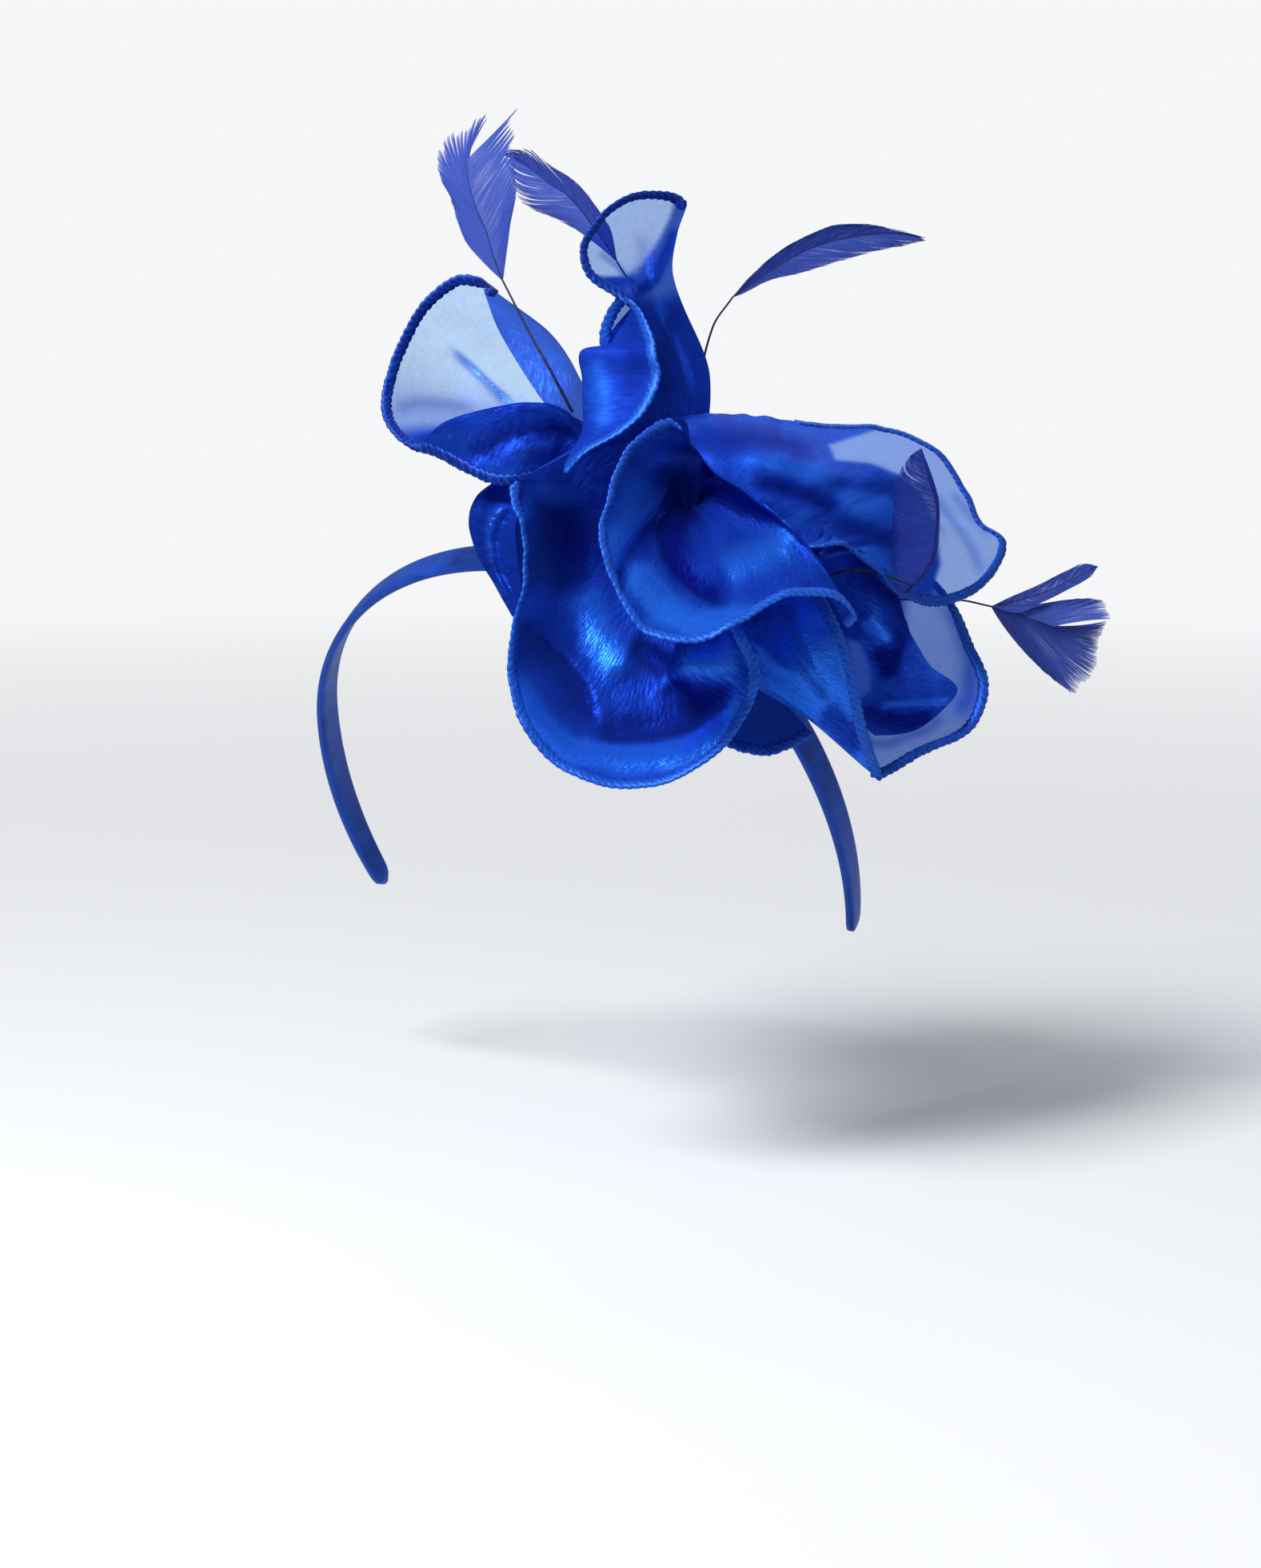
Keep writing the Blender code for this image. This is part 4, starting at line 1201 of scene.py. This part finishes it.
def archPoint(angle, height):
    crown = min(abs(angle), band["crownHalf"])
    across = seat["crown"] * sin(radians(crown))
    up = seat["crown"] * (cos(radians(crown)) - 1)
    if abs(angle) > band["crownHalf"]:
        across += band["leg"] * (sin(radians(abs(angle))) - sin(radians(band["crownHalf"])))
        up += band["leg"] * (cos(radians(abs(angle))) - cos(radians(band["crownHalf"])))
    across += height * sin(radians(abs(angle)))
    up += height * cos(radians(abs(angle)))
    return Vector((across if angle >= 0 else -across, 0, up))


def makeBand():
    verts, faces, thread, rings = [], [], [], []
    length = 2 * (seat["crown"] * radians(band["crownHalf"])
                  + band["leg"] * radians(band["end"] - band["crownHalf"]))
    for i in range(band["rings"] + 1):
        share = 2 * i / band["rings"] - 1
        angle = share * band["end"]
        taper = max(0, abs(share) - band["taperFrom"]) / (1 - band["taperFrom"])
        toEnd = (1 - abs(share)) * length / 2
        end = 0.3 + 0.7 * (1 - (1 - min(1, toEnd / band["round"])) ** 2) ** 0.5
        half = (band["wide"] + (band["tipWide"] - band["wide"]) * taper**2) / 2 * end
        thick = band["thick"] / 2 * (0.45 + 0.55 * end)
        ring = []
        for k in range(band["sides"]):
            turn = 2 * pi * k / band["sides"]
            c = cos(turn)
            s = sin(turn)
            aside = (abs(c) ** band["square"]) * (1 if c > 0 else -1)
            lift = (abs(s) ** band["square"]) * (1 if s > 0 else -1)
            place = archPoint(angle, band["thick"] / 2 + thick * lift)
            ring.append(len(verts))
            verts.append(place + Vector((0, -half * aside, 0)))
            thread.append((share * length / 2, k * 1.1, 3.0))
        rings.append(ring)
    joinRings(rings, faces)
    piece = addPiece("satin_band", verts, faces, satin,
                     place=bandTilt().to_4x4(), thread=thread)
    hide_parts("headband")


def makeCore():  # the knot into which the gathered edge of the organza is stitched
    verts, faces, thread, rings = [], [], [], []
    axes = rosette.to_3x3()
    seatWay = Vector((sin(radians(seat["angle"])), 0, cos(radians(seat["angle"]))))
    outward = axes.inverted() @ (bandTilt() @ seatWay)
    base = outward * core["gap"]
    towards = (core["centre"] - base).normalized()
    side = towards.cross(Vector((0, 1, 0))).normalized()
    other = towards.cross(side)
    stations = [(base, core["stem"])]
    for n in range(core["rings"] + 1):
        polar = radians(core["open"] - (core["open"] - core["shut"]) * n / core["rings"])
        height = core["radius"] * cos(polar)
        stations.append((core["centre"] + towards * height, core["radius"] * sin(polar)))
    for n, (centre, radius) in enumerate(stations):
        ring = []
        for k in range(core["sides"]):
            angle = 2 * pi * k / core["sides"]
            wave = sin(core["tucks"] * angle + wander(angle, n * 0.2, 0) * 3)
            tuck = 1 - core["tuckDepth"] * (0.5 + 0.5 * wave)
            ring.append(len(verts))
            verts.append(centre + (side * cos(angle) + other * sin(angle)) * radius * tuck)
            thread.append((angle * 12, n * 1.0, 4.0))
        rings.append(ring)
    joinRings(rings, faces)
    piece = addPiece("gathered_core", verts, faces, organza,
                     thread=thread, cover=[1.0] * len(verts), shade=[0.3] * len(verts))
    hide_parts("sewn_core")


makeBand()
makeCore()
print("band and core made")


# stage

stage = {"floorDrop": 60, "floorRadius": 3.0, "floorFade": (0.25, 1.3), "pale": (0.66, 0.665, 0.68, 1),
         "backdrop": (0.92, 0.925, 0.94, 1), "ambient": (0.85, 0.92, 1.0, 1), "soft": 0.30}

lamps = {  # round the place aim, in degrees, metres and watts
    "aim": (0.03, 0, 0.02),
    "key": {"azimuth": -15, "elevation": 52, "distance": 1.3, "size": 0.45, "power": 26},
    "fill": {"azimuth": 95, "elevation": 15, "distance": 1.6, "size": 1.2, "power": 4},
    "back": {"azimuth": 195, "elevation": 40, "distance": 1.5, "size": 1.2, "power": 5},
}

camera = {"distance": 1200, "lens": 90.3, "sensor": 36, "right": 36.2, "up": -67.7}


def makeFloor():
    low = cadBox[0].z - stage["floorDrop"] * mm
    mesh = bpy.data.meshes.new("floor")
    r = stage["floorRadius"]
    mesh.from_pydata([(-r, -r, low), (r, -r, low), (r, r, low), (-r, r, low)], [], [(0, 1, 2, 3)])
    finish, tree, shader = newFinish("paleFloor")
    place = addNode(tree, "ShaderNodeTexCoord").outputs["Object"]
    away = addNode(tree, "ShaderNodeVectorMath", {"operation": "LENGTH"}, {0: place}).outputs["Value"]
    near, far = stage["floorFade"]
    plug(tree, shader, {"Base Color": stage["pale"], "Roughness": 0.9,
                        "Alpha": remap(tree, away, near, far, 1.0, 0.0)})
    mesh.materials.append(finish)
    floor = bpy.data.objects.new("floor", mesh)
    bpy.context.scene.collection.objects.link(floor)


def addLamp(name, lamp):
    data = bpy.data.lights.new(name, "AREA")
    data.energy = lamp["power"]
    data.size = lamp["size"]
    light = bpy.data.objects.new(name, data)
    azimuth, elevation = radians(lamp["azimuth"]), radians(lamp["elevation"])
    way = Vector((sin(azimuth) * cos(elevation), -cos(azimuth) * cos(elevation), sin(elevation)))
    light.location = Vector(lamps["aim"]) + way * lamp["distance"]
    light.rotation_mode = "QUATERNION"
    light.rotation_quaternion = way.to_track_quat("Z", "Y")
    bpy.context.scene.collection.objects.link(light)


def makeWorld():  # the room is seen bright, and lights the piece softly
    world = bpy.data.worlds.new("paleRoom")
    world.use_nodes = True
    tree = world.node_tree
    seen = tree.nodes["Background"]
    seen.inputs["Color"].default_value = stage["backdrop"]
    ambient = addNode(tree, "ShaderNodeBackground", None,
                      {"Color": stage["ambient"], "Strength": stage["soft"]})
    ray = addNode(tree, "ShaderNodeLightPath").outputs["Is Camera Ray"]
    both = addNode(tree, "ShaderNodeMixShader", None,
                   {0: ray, 1: ambient.outputs[0], 2: seen.outputs[0]})
    tree.links.new(both.outputs[0], tree.nodes["World Output"].inputs["Surface"])
    bpy.context.scene.world = world


def makeCamera():
    across, up, out = facingAxes()
    data = bpy.data.cameras.new("camera")
    data.lens = camera["lens"]
    data.sensor_width = camera["sensor"]
    eye = bpy.data.objects.new("camera", data)
    place = across * camera["right"] + up * camera["up"] + out * camera["distance"]
    eye.location = place * mm
    eye.rotation_mode = "QUATERNION"
    eye.rotation_quaternion = Matrix((across, up, out)).transposed().to_quaternion()
    bpy.context.scene.collection.objects.link(eye)
    bpy.context.scene.camera = eye


makeFloor()
makeWorld()
makeCamera()
for name in ("key", "fill", "back"):
    addLamp(name, lamps[name])
bpy.context.scene.view_settings.view_transform = "Standard"
print("stage, lights and camera set")
